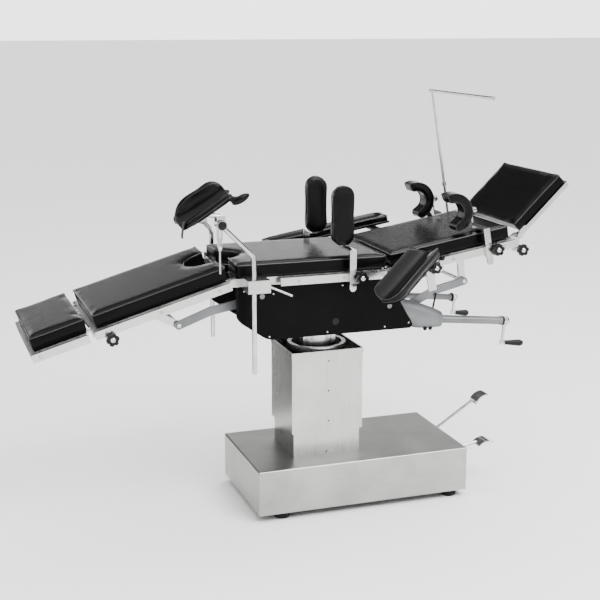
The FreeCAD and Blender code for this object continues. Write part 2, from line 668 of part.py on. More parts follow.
def seat_frame():
    pieces = []
    for _, side in SIDES:
        pieces += rounded_bar(side, d.bar_half_gap, bar_outer, d.leg_hinge_x, d.back_hinge_x, True, True)
        for x in (d.leg_hinge_x, d.back_hinge_x):
            pieces.append(side_rod(side, x, inner_bar_low - 2, 0, d.hinge_pin, d.bar_half_gap + 1))
            pieces.append(side_rod(side, x, bar_outer, 0, d.hinge_head, bar_outer + d.hinge_head_thick))
    for x in (d.leg_hinge_x + 110, d.leg_hinge_x + 290, d.back_hinge_x - 40):
        pieces.append(cross_bar(x, d.bar_half_gap))
    pieces += rail_posts((d.seat_rail_foot + 71, d.column_x + 19, d.back_hinge_x - 30), bar_outer)
    start = d.leg_hinge_x + d.board_setback
    end = d.back_hinge_x - d.board_setback
    pieces.append(box(start, -half_mattress, half_bar, end - start, d.mattress_width, d.board_thick))
    return cut(fuse(*pieces), notch_prism(half_bar - 1, d.board_thick + 2))


def rail_pair(start, end, round_start=False, round_end=False):
    rails = []
    for _, side in SIDES:
        rails.append(fuse(*rounded_bar(side, d.rail_half_gap, rail_outer, start, end, round_start,
                                       round_end))
                     if round_start or round_end
                     else side_box(side, start, d.rail_half_gap, -half_bar, end - start, rail_outer,
                                   d.bar_height))
    return together(*rails)


def cushion(name, start, end, low, thick, notch=None):
    """Plain body of a cushion, with softly rounded upright corners."""
    body = doc.addObject("PartDesign::Body", name + "_block")
    half = half_mattress
    pad(body, sketch(body, "xy", [(start, -half), (end, -half), (end, half), (start, half)], low), thick)
    round_edges(body, d.cushion_setback, lambda edge: runs_along(edge, Vector(0, 0, 1)))
    return cut(body, notch) if notch else body


seat_start = d.leg_hinge_x + d.seat_cushion_foot
seat_end = d.back_hinge_x - d.seat_cushion_head
node("seat_frame", seat_frame(), seat_place)
node("seat_rails", rail_pair(d.seat_rail_foot, d.back_hinge_x - half_bar - d.free_gap), seat_place)
node("seat_mattress", cushion("seat", seat_start, seat_end, cushion_low, d.cushion_thick,
                              notch_prism(cushion_low - 1, d.cushion_thick + 2)), seat_place)


def hinge_bores(x):
    """Bores in the inner side bars that turn on the seat's hinge pins."""
    return [side_rod(side, x, inner_bar_low - 3, 0, d.hinge_pin + d.bore_play, d.bar_half_gap)
            for _, side in SIDES]


def pivot_lugs(bar_x, pivot_x, drop):
    """Pair of lugs under a cross bar with the pins of the link's open pivot."""
    pieces = []
    for _, side in SIDES:
        high = d.lug_half_gap + d.lug_thick
        left, right = (bar_x, pivot_x) if float(bar_x) < float(pivot_x) else (pivot_x, bar_x)
        radius = d.link_pin + 4
        pieces.append(side_box(side, left, d.lug_half_gap, -drop - radius + 2, right - left, high,
                               radius + drop + 8))
        pieces.append(side_rod(side, pivot_x, d.lug_half_gap, -drop, radius, high))
        pieces.append(side_rod(side, pivot_x, d.lug_half_gap, -drop, d.open_pivot_pin,
                               d.link_half_gap + d.link_thick + 1))
    return pieces


def section_board(start, end):
    low, high = (start, end) if float(start) < float(end) else (end, start)
    return box(low, -half_mattress, half_bar, high - low, d.mattress_width, d.board_thick)


head_stud_along = d.head_hinge_along - d.head_stud_back


def back_frame():
    pieces = []
    for _, side in SIDES:
        pieces += rounded_bar(side, inner_bar_low, inner_bar_high, 0, d.head_hinge_along - 15, True)
        lug = side_plate("back_lug", side,
                         [(d.head_hinge_along - 40, half_bar), (d.head_hinge_along - 34, -half_bar),
                          (d.head_hinge_along - 26, -44), (d.head_hinge_along, -44),
                          (d.head_hinge_along + 9, d.head_hinge_up - 8),
                          (d.head_hinge_along + 9, d.head_hinge_up + 4),
                          (d.head_hinge_along + 2, d.head_hinge_up + 9),
                          (d.head_hinge_along - 12, d.head_hinge_up + 8)],
                         inner_bar_low, inner_bar_high)
        pieces.append(lug)
        pieces.append(side_rod(side, head_stud_along, inner_bar_high - 1, -d.head_stud_down, d.stud_radius,
                               rail_outer))
        pieces.append(side_rod(side, head_stud_along, inner_bar_high - 1, -d.head_stud_down,
                               d.head_stud_boss,
                               d.head_stud_boss_end))
    pieces += [cross_bar(x, inner_bar_low + 1) for x in (60, 215, 400, 535)]
    pieces += rail_posts((40, 270, 495), inner_bar_high)
    pieces += pivot_lugs(size_of(400), d.back_pivot_along, d.back_pivot_down)
    pieces.append(section_board(d.board_setback, d.back_cushion_end))
    bores = hinge_bores(0)
    for _, side in SIDES:
        bores.append(side_rod(side, d.head_hinge_along, inner_bar_low - 1, d.head_hinge_up,
                              d.head_pin + d.bore_play, inner_bar_high + 1))
    return cut(fuse(*pieces), *bores)


def leg_frame():
    pieces = []
    for _, side in SIDES:
        pieces += rounded_bar(side, inner_bar_low, inner_bar_high, -d.leg_bar_end, 0, False, True)
    pieces += [cross_bar(x, inner_bar_low + 1) for x in (-130, -350, -530)]
    pieces += rail_posts((-60, -290, -500), inner_bar_high)
    pieces += pivot_lugs(size_of(-350), -d.leg_pivot_along, d.leg_pivot_down)
    pieces.append(section_board(-d.board_setback, -d.leg_cushion_end))
    bores = hinge_bores(0)
    bores.append(rod("z", -d.cushion_setback - d.leg_notch_back, 0, half_bar - 1, d.leg_notch_radius,
                     d.board_thick + 2))
    for _, side in SIDES:
        bores.append(rod("x", -d.leg_bar_end - 1, side * 150, 0, 9 + d.bore_play, 40))
        x = -d.foot_knob_along
        pieces.append(side_box(side, x - 15, inner_bar_low, -d.foot_knob_down - 14, 30, inner_bar_high,
                               d.foot_knob_down))
        pieces.append(side_rod(side, x, inner_bar_high - 1, -d.foot_knob_down, d.stud_radius,
                               d.foot_knob_seat + 3))
    return cut(fuse(*pieces), *bores)


def foot_frame():
    """Foot section frame with two prongs that plug into the leg section, and its own rails."""
    start, end = -d.foot_bar_end, -d.foot_cushion_start - 8
    pieces = []
    for _, side in SIDES:
        pieces.append(side_box(side, start, inner_bar_low, -half_bar, end - start, inner_bar_high,
                               d.bar_height))
        pieces.append(side_box(side, start, d.rail_half_gap, -half_bar, end - start, rail_outer,
                               d.bar_height))
        prong_end = -d.leg_bar_end + 30
        pieces.append(rod("x", end - 10, side * 150, 0, 9, prong_end - end + 10))
    pieces += [cross_bar(x, inner_bar_low + 1) for x in (end - d.cross_bar / 2, start + d.cross_bar / 2)]
    pieces += rail_posts((end - 40, start + 30), inner_bar_high)
    pieces.append(box(-d.foot_cushion_end, -half_mattress, half_bar,
                      d.foot_cushion_end - d.foot_cushion_start - 8,
                      d.mattress_width, d.board_thick))
    return fuse(*pieces)


node("back_frame", back_frame(), back_place)
node("back_rails", rail_pair(size_of(0), d.back_rail_end, round_start=True), back_place)
node("back_mattress",
     cushion("back", d.back_cushion_start, d.back_cushion_end, cushion_low, d.cushion_thick),
     back_place)
node("leg_frame", leg_frame(), leg_place)
node("leg_rails", rail_pair(-d.leg_bar_end + 5, -d.leg_rail_start), leg_place)
leg_notch = rod("z", -d.cushion_setback - d.leg_notch_back, 0, cushion_low - 1, d.leg_notch_radius,
                d.cushion_thick + 2)
node("leg_mattress", cushion("leg", -d.leg_cushion_end, -d.cushion_setback, cushion_low, d.cushion_thick,
                             leg_notch), leg_place)
node("foot_frame", foot_frame(), leg_place)
node("foot_mattress", cushion("foot", -d.foot_cushion_end, -d.foot_cushion_start, cushion_low,
                              d.cushion_thick), leg_place)


def head_frame():
    """Side bars on hinge hubs outside the back section's lugs, with two cross bars and a thin board."""
    low = d.bar_half_gap + 2
    high = low + d.head_bar_thick
    bottom = -d.head_bar_height / 2 - 2
    pieces = []
    for _, side in SIDES:
        pieces.append(side_box(side, 0, low, bottom, d.head_length, high, d.head_bar_height))
        pieces.append(side_rod(side, 0, low, 0, d.head_hub, d.head_hub_out))
        pieces.append(side_rod(side, 0, inner_bar_low - 2, 0, d.head_pin, low + 1))
        pieces.append(side_rod(side, 0, d.head_hub_out, 0, d.hinge_head,
                               d.head_hub_out + d.hinge_head_thick))
    for x in (size_of(85), d.head_length - d.cross_bar / 2):
        pieces.append(box(x - d.cross_bar / 2, -low - 1, bottom, d.cross_bar, 2 * low + 2,
                          d.head_bar_height - 4))
    pieces.append(box(44, -half_mattress, d.head_bar_height / 2 - 2,
                      d.head_length - 44, d.mattress_width, 1))
    return fuse(*pieces)


node("head_frame", head_frame(), head_place)
node("head_mattress", cushion("head", d.head_cushion_start, d.head_length, d.head_cushion_low,
                              d.head_cushion_thick), head_place)


# Levers and links


def bent_lever(name, side, points):
    """A cranked flat lever of even width along a line of points, with round ends."""
    half = float(d.lever_width) / 2
    spots = [Vector(float(x), 0, float(z)) for x, z in points]
    low = float(d.lever_half_gap)
    start = low if side > 0 else -(low + float(d.lever_thick))
    depth = float(d.lever_thick)
    shape = None
    for first, second in zip(spots, spots[1:]):
        along = (second - first).normalize()
        across = Vector(-along.z, 0, along.x) * half
        corners = [first + across, second + across, second - across, first - across]
        corners = [corner + Vector(0, start, 0) for corner in corners]
        run = Part.Face(Part.makePolygon(corners + [corners[0]])).extrude(Vector(0, depth, 0))
        ends = [Part.makeCylinder(half, depth, spot + Vector(0, start, 0), Vector(0, 1, 0))
                for spot in (first, second)]
        run = run.multiFuse(ends)
        shape = run if shape is None else shape.fuse(run)
    return fixed_shape(shape.removeSplitter())


def lever_pair(pivot, pin, points):
    """Two levers on one shaft that turns in the housing covers."""
    levers = [bent_lever("lever", side, [pivot] + points + [pin]) for _, side in SIDES]
    half = d.housing_half_gap + d.housing_wall - d.side_play
    shaft = rod("y", pivot[0], -half, pivot[1], d.lever_shaft, 2 * half)
    bores = [side_rod(side, pin[0], d.lever_half_gap - 1, pin[1], d.link_pin + d.running_gap,
                      d.lever_half_gap + d.lever_thick + 1) for _, side in SIDES]
    return cut(fuse(shaft, *levers), *bores)


def link_pair(pin, pivot):
    """Two links on the pin between the levers, with open bores at the section."""
    half = d.lever_half_gap + d.lever_thick + 4
    pieces = [rod("y", pin[0], -half, pin[1], d.link_pin, 2 * half)]
    holes = []
    for _, side in SIDES:
        low = float(d.link_half_gap)
        start = low if side > 0 else -(low + float(d.link_thick))
        first = Vector(float(pin[0]), start, float(pin[1]))
        second = Vector(float(pivot[0]), start, float(pivot[1]))
        along = (second - first).normalize()
        across = Vector(-along.z, 0, along.x) * (float(d.link_width) / 2)
        corners = [first + across, second + across, second - across, first - across]
        depth = Vector(0, float(d.link_thick), 0)
        run = Part.Face(Part.makePolygon(corners + [corners[0]])).extrude(depth)
        ends = [Part.makeCylinder(float(d.link_width) / 2, float(d.link_thick), spot, Vector(0, 1, 0))
                for spot in (first, second)]
        pieces.append(fixed_shape(run.multiFuse(ends).removeSplitter()))
        holes.append(side_rod(side, pivot[0], d.link_half_gap - 1, pivot[1], d.open_pivot_pin + 0.5,
                              d.link_half_gap + d.link_thick + 1))
    return cut(fuse(*pieces), *holes)


leg_cos, leg_sin = cosine(d.leg_angle), sine(d.leg_angle)
back_cos, back_sin = cosine(d.back_angle), sine(d.back_angle)
leg_open_pivot = (d.leg_hinge_x - d.leg_pivot_along * leg_cos + d.leg_pivot_down * leg_sin,
                  d.table_z - d.leg_pivot_along * leg_sin - d.leg_pivot_down * leg_cos)
leg_pin = (leg_open_pivot[0] + d.leg_link_x, leg_open_pivot[1] - d.leg_link_z)
back_open_pivot = (d.back_hinge_x + d.back_pivot_along * back_cos + d.back_pivot_down * back_sin,
                   d.table_z + d.back_pivot_along * back_sin - d.back_pivot_down * back_cos)
back_pin = (back_open_pivot[0] + d.back_link_x, back_open_pivot[1] - d.back_link_z)

node("leg_lever", lever_pair(leg_lever_pivot, leg_pin,
                             [(d.leg_lever_knee_x, d.leg_lever_knee_z),
                              (d.leg_lever_mid_x, d.leg_lever_mid_z)]))
node("leg_link", link_pair(leg_pin, leg_open_pivot))
node("back_lever", lever_pair(back_lever_pivot, back_pin,
                              [(d.back_lever_dip_x, d.back_lever_dip_z),
                               (d.back_lever_mid_x, d.back_lever_mid_z)]))
node("back_link", link_pair(back_pin, back_open_pivot))


# Crank drives


def casting(side, end_x, end_z, end_radius, mid_x, mid_z, mid_radius):
    """Trumpet-shaped casting from the slanted end of the housing to the round crank tube."""
    y = side * float(d.crank_y)
    top = Vector(float(d.housing_shoulder_x), 0, float(d.housing_shoulder_z))
    low = Vector(float(d.housing_corner_x), 0, float(d.housing_bottom))
    along = (top - low).normalize()
    root = low + along * (float(d.casting_root_radius) + 8) + Vector(0, y, 0)
    out = Vector(along.z, 0, -along.x)
    sections = []
    for centre, normal, major, direction in (
            (root, out, float(d.casting_root_radius), along),
            (Vector(float(mid_x), y, float(mid_z)), Vector(1, 0, -0.25), float(mid_radius),
             Vector(0.25, 0, 1)),
            (Vector(float(end_x), y, float(end_z)), crank_line, float(end_radius), Vector(0.1, 0, 1))):
        minor = min(float(d.casting_half_depth), major)
        ring = Part.Ellipse(centre + direction.normalize() * (major + 0.01),
                            centre + Vector(0, minor, 0), centre)
        sections.append(Part.Wire(ring.toShape()))
    return Part.makeLoft(sections, True)


crank_line = Vector(math.cos(math.radians(float(d.crank_slope))), 0,
                    -math.sin(math.radians(float(d.crank_slope))))


def crank_housing(side, end_x, end_z, end_radius, mid_x, mid_z, mid_radius, radius, length):
    """Casting with its tube and bearing collar, bored for the crank's shaft."""
    start = Vector(float(end_x), side * float(d.crank_y), float(end_z))
    body = casting(side, end_x, end_z, end_radius, mid_x, mid_z, mid_radius)
    tube = Part.makeCylinder(float(radius), float(length) + 4, start - crank_line * 4, crank_line)
    collar = Part.makeCylinder(float(radius) + 2, float(d.collar_length),
                               start + crank_line * (float(length) - float(d.collar_length)), crank_line)
    bore = Part.makeCylinder(float(d.grip_pin) + 3 + float(d.running_gap), 60,
                             start + crank_line * (float(length) - 59), crank_line)
    body = body.fuse(tube).fuse(collar)
    if side < 0:
        foot = Vector(float(d.clutch_x), -float(d.clutch_y), float(d.clutch_z))
        body = body.fuse(Part.makeCylinder(4, 30, foot - Vector(0, 24, 0), Vector(0, 1, 0)))
    return fixed_shape(body.cut(bore).removeSplitter())


def crank(side, end_x, end_z, radius, length, arm):
    """Elbow, arm and grip pin of a crank, with its shaft inside the tube."""
    start = Vector(float(end_x), side * float(d.crank_y), float(end_z)) + crank_line * (float(length) + 1)
    down = Vector(-crank_line.z, 0, crank_line.x) * -1
    elbow = Part.makeCylinder(float(radius), float(d.crank_elbow) - 10, start, crank_line)
    knee = start + crank_line * (float(d.crank_elbow) - float(radius))
    elbow = elbow.fuse(Part.makeSphere(float(radius), start + crank_line * (float(d.crank_elbow) - 10)))
    shaft = Part.makeCylinder(float(d.grip_pin) + 3, 52, start - crank_line * 51, crank_line)
    bar = Part.makeCone(float(d.crank_arm_thick) / 2, float(d.crank_arm_tip) / 2, float(arm), knee, down)
    tip = knee + down * float(arm)
    eye_radius = float(d.crank_arm_tip) * 0.8
    eye = Part.makeCylinder(eye_radius, 2 * eye_radius, tip - crank_line * eye_radius, crank_line)
    return elbow, shaft, bar, eye, tip


def crank_nodes(name, side, end_x, end_z, radius, length, arm, grip):
    elbow, shaft, bar, eye, tip = crank(side, end_x, end_z, radius, length, arm)
    pin = Part.makeCylinder(float(d.grip_pin), float(grip) - 6, tip, crank_line)
    node(name, fixed_shape(elbow.multiFuse([shaft, bar, eye, pin]).removeSplitter()))
    start = tip + crank_line * (float(d.crank_arm_tip) + 1)
    body = Part.makeCone(float(d.grip_small), float(d.grip_big), float(grip) * 0.85, start, crank_line)
    end = start + crank_line * (float(grip) * 0.85)
    cap = Part.makeCone(float(d.grip_big), float(d.grip_big) * 0.7, float(grip) * 0.15, end, crank_line)
    bore = Part.makeCylinder(float(d.grip_pin) + float(d.running_gap), float(grip) - 6, tip, crank_line)
    node(name + "_grip", fixed_shape(body.fuse(cap).cut(bore).removeSplitter()))


node("tilt_drive", crank_housing(-1, d.casting_end_x, d.casting_end_z, d.casting_end_radius,
                                 d.casting_mid_x, d.casting_mid_z, d.casting_mid_radius,
                                 d.tube_radius, d.tube_length))
node("back_drive", crank_housing(1, d.casting_end_x, d.far_casting_end_z, d.far_casting_end_radius,
                                 d.casting_mid_x, d.casting_mid_z + 12, d.casting_mid_radius - 6,
                                 d.far_tube_radius, d.far_tube_length))
crank_nodes("tilt_crank", -1, d.casting_end_x, d.casting_end_z, d.tube_radius, d.tube_length,
            d.crank_arm, d.grip_length)
crank_nodes("back_crank", 1, d.casting_end_x, d.far_casting_end_z, d.far_tube_radius,
            d.far_tube_length, d.far_crank_arm, d.far_grip_length)


# Star knobs and rail clamps


def star_knob(side, x, z, seat=None):
    """Scalloped hand knob with a hub towards the clamp, bored for its stud."""
    seat = d.knob_seat if seat is None else seat
    low = seat - d.knob_hub_length
    hub = side_rod(side, x, low, z, d.knob_hub, seat)
    disc = side_rod(side, x, seat, z, d.knob_radius, seat + d.knob_thick)
    scallops = []
    for lobe in range(int(float(d.knob_lobes))):
        angle = math.radians(360 * (lobe + 0.5) / float(d.knob_lobes))
        reach = d.knob_radius + d.knob_scallop * 0.35
        scallops.append(side_rod(side, x + reach * math.cos(angle), seat - 1, z + reach * math.sin(angle),
                                 d.knob_scallop, seat + d.knob_thick + 1))
    bore = side_rod(side, x, low - 1, z, d.stud_radius + d.running_gap, seat + 3)
    return cut(fuse(hub, disc), *scallops, bore)


def clamp_with_stud(side, x, slot=None):
    """Rail clamp with the stud of its star knob beside the slot."""
    height = half_bar + d.clamp_lip
    tools = []
    if slot is not None:
        width = d.strip_width + 2 * d.free_gap
        tools.append(side_box(side, slot - width / 2, d.strip_half_gap - d.free_gap, -height - 1, width,
                              d.strip_half_gap + d.strip_thick + d.free_gap, 2 * height + 2))
    half = d.clamp_length / 2
    block = side_box(side, x - half, d.clamp_back, -height, d.clamp_length, d.clamp_front, 2 * height)
    groove = side_box(side, x - half - 1, d.clamp_back - 1, -half_bar, d.clamp_length + 2,
                      rail_outer, d.bar_height)
    stud = side_rod(side, x + d.knob_offset, d.clamp_front - 1, 0, d.stud_radius, d.knob_seat + 3)
    return cut(fuse(block, stud), groove, *tools)


def knob_pair(x, z, seat=None):
    return together(*[star_knob(side, size_of(x), size_of(z), seat) for _, side in SIDES])


knob_shift = d.strip_offset + d.knob_offset
node("foot_knobs", knob_pair(-d.foot_knob_along, -d.foot_knob_down, d.foot_knob_seat), leg_place)
node("head_knobs", knob_pair(head_stud_along, -d.head_stud_down, rail_outer - 3), back_place)
node("side_knobs", knob_pair(d.side_support_x + knob_shift, 0), seat_place)
node("shoulder_knobs", knob_pair(d.shoulder_along + knob_shift, 0), back_place)


# Side supports


def side_strip(side):
    """Strip through the clamp, cranked inwards over the cushion and up behind the pad."""
    half = d.strip_width / 2
    x = d.side_support_x - half
    high = d.strip_half_gap + d.strip_thick
    outer = side_box(side, x, d.strip_half_gap, -d.side_strip_low, d.strip_width, high,
                     d.side_strip_low + d.side_strip_top)
    low_end = side_rod(side, d.side_support_x, d.strip_half_gap, -d.side_strip_low, half, high)
    inner = d.side_pad_half_gap + d.side_pad_thick
    level = side_box(side, x, inner, d.side_strip_top - d.strip_thick, d.strip_width, high, d.strip_thick)
    upright = side_box(side, x, inner, d.side_strip_top - d.strip_thick, d.strip_width,
                       inner + d.strip_thick, d.side_pad_height * 0.6)
    return fuse(outer, low_end, level, upright)


def side_pad(side):
    """Upright pad with round ends, a little hollow towards the patient."""
    half = d.side_pad_width / 2
    bottom, top = d.side_pad_low + half, d.side_pad_low + d.side_pad_height - half
    high = d.side_pad_half_gap + d.side_pad_thick
    outline = side_box(side, d.side_support_x - half, d.side_pad_half_gap, bottom, d.side_pad_width,
                       high, top - bottom)
    ends = [side_rod(side, d.side_support_x, d.side_pad_half_gap, z, half, high) for z in (bottom, top)]
    hollow_radius = d.side_pad_width * 1.5
    y = side * (d.side_pad_half_gap + 7 - hollow_radius)
    hollow = rod("z", d.side_support_x, y, bottom - 2 * half, hollow_radius, d.side_pad_height + 2 * half)
    return cut(fuse(outline, *ends), hollow)


seat_clamps = []
for end, side in SIDES:
    seat_clamps.append(clamp_with_stud(side, d.side_support_x + d.strip_offset, d.side_support_x))
    node("side_strip_" + end, side_strip(side), seat_place)
    node("side_pad_" + end, side_pad(side), seat_place)


# Shoulder supports


def shoulder_strip(side):
    """Strip through the clamp, cranked inwards and up to the back of the pad."""
    half = d.strip_width / 2
    x = d.shoulder_along - half
    high = d.strip_half_gap + d.strip_thick
    outer = side_box(side, x, d.strip_half_gap, -d.shoulder_strip_low, d.strip_width, high,
                     d.shoulder_strip_low + d.shoulder_strip_top)
    low_end = side_rod(side, d.shoulder_along, d.strip_half_gap, -d.shoulder_strip_low, half, high)
    inner = d.shoulder_pad_y - half
    level = side_box(side, x, inner, d.shoulder_strip_top - d.strip_thick, d.strip_width, high,
                     d.strip_thick)
    plate_x = d.shoulder_pad_along + d.shoulder_pad_outer - 4
    foot = side_box(side, plate_x, inner, d.shoulder_strip_top - d.strip_thick,
                    x - plate_x + 1, inner + d.strip_width, d.strip_thick)
    upright = side_box(side, plate_x, inner, d.shoulder_strip_top - d.strip_thick, d.strip_thick,
                       inner + d.strip_width,
                       d.shoulder_pad_up - d.shoulder_strip_top + 2 * d.strip_thick + 6)
    z = d.shoulder_pad_up - 12
    start = side * d.shoulder_pad_y
    stem = rod("x", plate_x, start, z, d.stud_radius, 30)
    wing = cone("x", plate_x + 14, start, z, 15, 12, 14)
    return fuse(outer, low_end, level, foot, upright, stem, wing)


def shoulder_pad(side):
    """Crescent pad that wraps over the shoulder, round at its foot and flat at its top."""
    centre = Vector(float(d.shoulder_pad_along), 0, float(d.shoulder_pad_up))
    outer, inner = float(d.shoulder_pad_outer), float(d.shoulder_pad_inner)
    depth = float(d.shoulder_pad_depth)
    y = side * float(d.shoulder_pad_y) - depth / 2
    middle, half_wall = (outer + inner) / 2, (outer - inner) / 2
    first, last = float(d.shoulder_pad_first), float(d.shoulder_pad_last)

    def at(radius, angle):
        turn = math.radians(angle)
        return centre + Vector(radius * math.cos(turn), y, radius * math.sin(turn))

    half_turn = (first + last) / 2
    edges = [
        Part.Arc(at(outer, first), at(outer, half_turn), at(outer, last)).toShape(),
        Part.makeLine(at(outer, last), at(inner, last)),
        Part.Arc(at(inner, last), at(inner, half_turn), at(inner, first)).toShape(),
        Part.Arc(at(inner, first), at(middle, first - math.degrees(half_wall / middle)),
                 at(outer, first)).toShape(),
    ]
    return fixed_shape(Part.Face(Part.Wire(edges)).extrude(Vector(0, depth, 0)))


back_clamps = []
for end, side in SIDES:
    back_clamps.append(clamp_with_stud(side, d.shoulder_along + d.strip_offset, d.shoulder_along))
    strip = shoulder_strip(side)
    node("shoulder_pad_" + end, cut(shoulder_pad(side), shoulder_strip(side)), back_place)
    node("shoulder_strip_" + end, strip, back_place)


# Arm boards


def arm_clamp(side):
    """Clamp on the back rail with the upright post of an arm board and a ball lever."""
    height = half_bar + d.clamp_lip
    half = d.clamp_length / 2
    x = d.arm_along
    block = side_box(side, x - half, d.clamp_back, -height, d.clamp_length,
                     d.arm_post_y + d.arm_post_radius + 4,
                     2 * height)
    groove = side_box(side, x - half - 1, d.clamp_back - 1, -half_bar, d.clamp_length + 2,
                      rail_outer, d.bar_height)
    top = d.arm_post_top if side > 0 else d.arm_post_top - d.arm_ball - d.free_gap
    post = rod("z", x, side * d.arm_post_y, height - 1, d.arm_post_radius, top - height + 1)
    lever = side_rod(side, x - half / 2, d.arm_post_y, 0, d.stud_radius, d.arm_post_y + 34)
    knob = ball(x - half / 2, side * (d.arm_post_y + 40), 0, 11)
    face = d.arm_post_y + d.arm_post_radius + 4
    bar = side_box(side, x - half - d.arm_strip_offset, face, -d.arm_strip_low, d.arm_strip_width,
                   face + d.strip_thick, d.arm_strip_low + half_bar)
    return cut(fuse(block, post, lever, knob, bar), groove)


def near_tray():
    """Tray of the near board along -X from the swivel ball on the clamp's post."""
    half = d.arm_board_width / 2
    low = d.arm_ball + 1
    length = d.arm_board_length - half
    tray = box(-length, -half + 8, low, length - d.arm_board_start, 2 * half - 16, d.arm_tray_thick)
    tip = rod("z", -length, 0, low, half - 8, d.arm_tray_thick)
    rib_length = 0.8 * length
    rib = box(-rib_length, -d.arm_bar_width / 2, low - d.arm_rib_depth + 1, rib_length + d.arm_ball / 2,
              d.arm_bar_width, d.arm_rib_depth)
    return fuse(tray, tip, rib, ball(0, 0, 0, d.arm_ball))


def near_pad():
    """Gutter-shaped arm pad with a round end, lying on its tray."""
    half = d.arm_board_width / 2
    low = d.arm_ball + 1 + d.arm_tray_thick
    length = d.arm_board_length - half
    block = box(-length, -half, low, length - d.arm_board_start, 2 * half, d.arm_pad_thick)
    tip = rod("z", -length, 0, low, half, d.arm_pad_thick)
    radius = 1.25 * half
    gutter = rod("x", -d.arm_board_length - 1, 0, low + d.arm_gutter_floor + radius, radius,
                 d.arm_board_length)
    return cut(fuse(block, tip), gutter)


def near_arm_place():
    """Swings about the post, then drops and rolls, with its hub on the post's top."""
    top = back_place.multVec(Vector(float(d.arm_along), -float(d.arm_post_y), float(d.arm_post_top)))
    swing = Rotation(Vector(0, 0, 1), float(d.near_arm_swing))
    drop = Rotation(Vector(0, 1, 0), -float(d.near_arm_drop))
    roll = Rotation(Vector(1, 0, 0), float(d.near_arm_roll))
    return Placement(top, swing * drop * roll)


def far_arm_place():
    top = back_place.multVec(Vector(float(d.arm_along), float(d.arm_post_y), float(d.arm_post_top)))
    return Placement(top, back_place.Rotation)


def far_tray():
    """Tray of the far board, beside its swivel hub and level with the back section."""
    half = d.far_arm_width / 2
    shift = d.far_arm_y + half / 2 - d.arm_post_y
    start = d.far_arm_from - d.arm_along - d.far_arm_length
    tray = box(start, shift - half + 8, d.far_arm_lift, d.far_arm_length, 2 * half - 16, d.arm_tray_thick)
    bridge = box(-d.arm_bar_width / 2, -d.arm_bar_width / 2, d.free_gap, d.arm_bar_width, shift + 10,
                 d.far_arm_lift + 0.5)
    hub = rod("z", 0, 0, d.free_gap, d.arm_post_radius + 6, d.far_arm_lift + 0.2)
    return fuse(tray, bridge, hub)


def far_pad():
    """Flat pad of the far board with rounded corners."""
    half = d.far_arm_width / 2
    shift = d.far_arm_y + half / 2 - d.arm_post_y
    start = d.far_arm_from - d.arm_along - d.far_arm_length
    body = doc.addObject("PartDesign::Body", "far_arm_block")
    low, high = shift - half, shift + half
    end = start + d.far_arm_length
    floor = d.far_arm_lift + d.arm_tray_thick
    pad(body, sketch(body, "xy", [(start, low), (end, low), (end, high), (start, high)], floor),
        d.far_arm_thick)
    round_edges(body, d.far_arm_round, lambda edge: runs_along(edge, Vector(0, 0, 1)))
    return body


node("arm_tray_far", far_tray(), far_arm_place())
node("arm_pad_far", far_pad(), far_arm_place())
node("arm_tray_near", near_tray(), near_arm_place())
node("arm_pad_near", near_pad(), near_arm_place())


# Leg crutches


def crutch_clamp(side):
    """Block on the seat's side bar with a bore for the pole and a T handle."""
    half = d.clamp_length / 2
    x = d.crutch_x
    length = d.clamp_length + 30
    neck = side_box(side, x - half, bar_outer, -half_bar, length, half_mattress + 5, d.bar_height)
    block = fuse(neck, side_box(side, x - half, half_mattress + 4, -24, length, d.crutch_y + 22, 48))
    bore = rod("z", x, side * d.crutch_y, -30, d.crutch_rod + d.free_gap, 60)
    start = Vector(float(x) + 48, side * float(d.crutch_y), 0)
    out = Vector(0.91, 0, -0.42).normalize()
    screw = Part.makeCylinder(float(d.handle_radius), float(d.handle_length), start - out * 10, out)
    return cut(fuse(block, fixed_shape(screw)), bore)


def crutch_line(side):
    """Corner points of the pole: foot, bend and the end at the knuckle."""
    y = side * float(d.crutch_y)
    x = float(d.crutch_x)
    out, up = ((d.crutch_arm_out, d.crutch_arm_rise) if side < 0
               else (d.far_crutch_arm_out, d.far_crutch_arm_rise))
    low = Vector(x, y, float(d.table_z) - float(d.crutch_low))
    bend = Vector(x, y, float(d.table_z) + float(d.crutch_bend))
    tip = bend + Vector(-float(out), 0, float(up))
    return low, bend, tip


def crutch_pole(side):
    """Bent pole, swept along its centre line, with the knuckle at its tip."""
    low, bend, tip = crutch_line(side)
    radius = float(d.crutch_bend_radius)
    up, out = (bend - low).normalize(), (tip - bend).normalize()
    half_angle = math.acos(max(-1, min(1, up.dot(out)))) / 2
    trim = radius * math.tan(half_angle)
    first, second = bend - up * trim, bend + out * trim
    inward = (out - up).normalize()
    middle = bend + inward * (radius / math.cos(half_angle) - radius)
    path = Part.Wire([Part.makeLine(low, first), Part.Arc(first, middle, second).toShape(),
                      Part.makeLine(second, tip)])
    ring = Part.Wire(Part.Circle(low, up, float(d.crutch_rod)).toShape())
    pole = path.makePipeShell([ring], True, False)
    end = Part.makeSphere(float(d.crutch_rod), low)
    half = float(d.knuckle_width) / 2
    knuckle = Part.makeCylinder(float(d.knuckle_radius), 2 * half - 12, tip - Vector(0, half - 6, 0),
                                Vector(0, 1, 0))
    bore = Part.makeCylinder(float(d.grip_pin) + float(d.running_gap), 4 * half,
                             tip - Vector(0, 2 * half, 0),
                             Vector(0, 1, 0))
    return fixed_shape(pole.fuse(end).fuse(knuckle).cut(bore).removeSplitter())


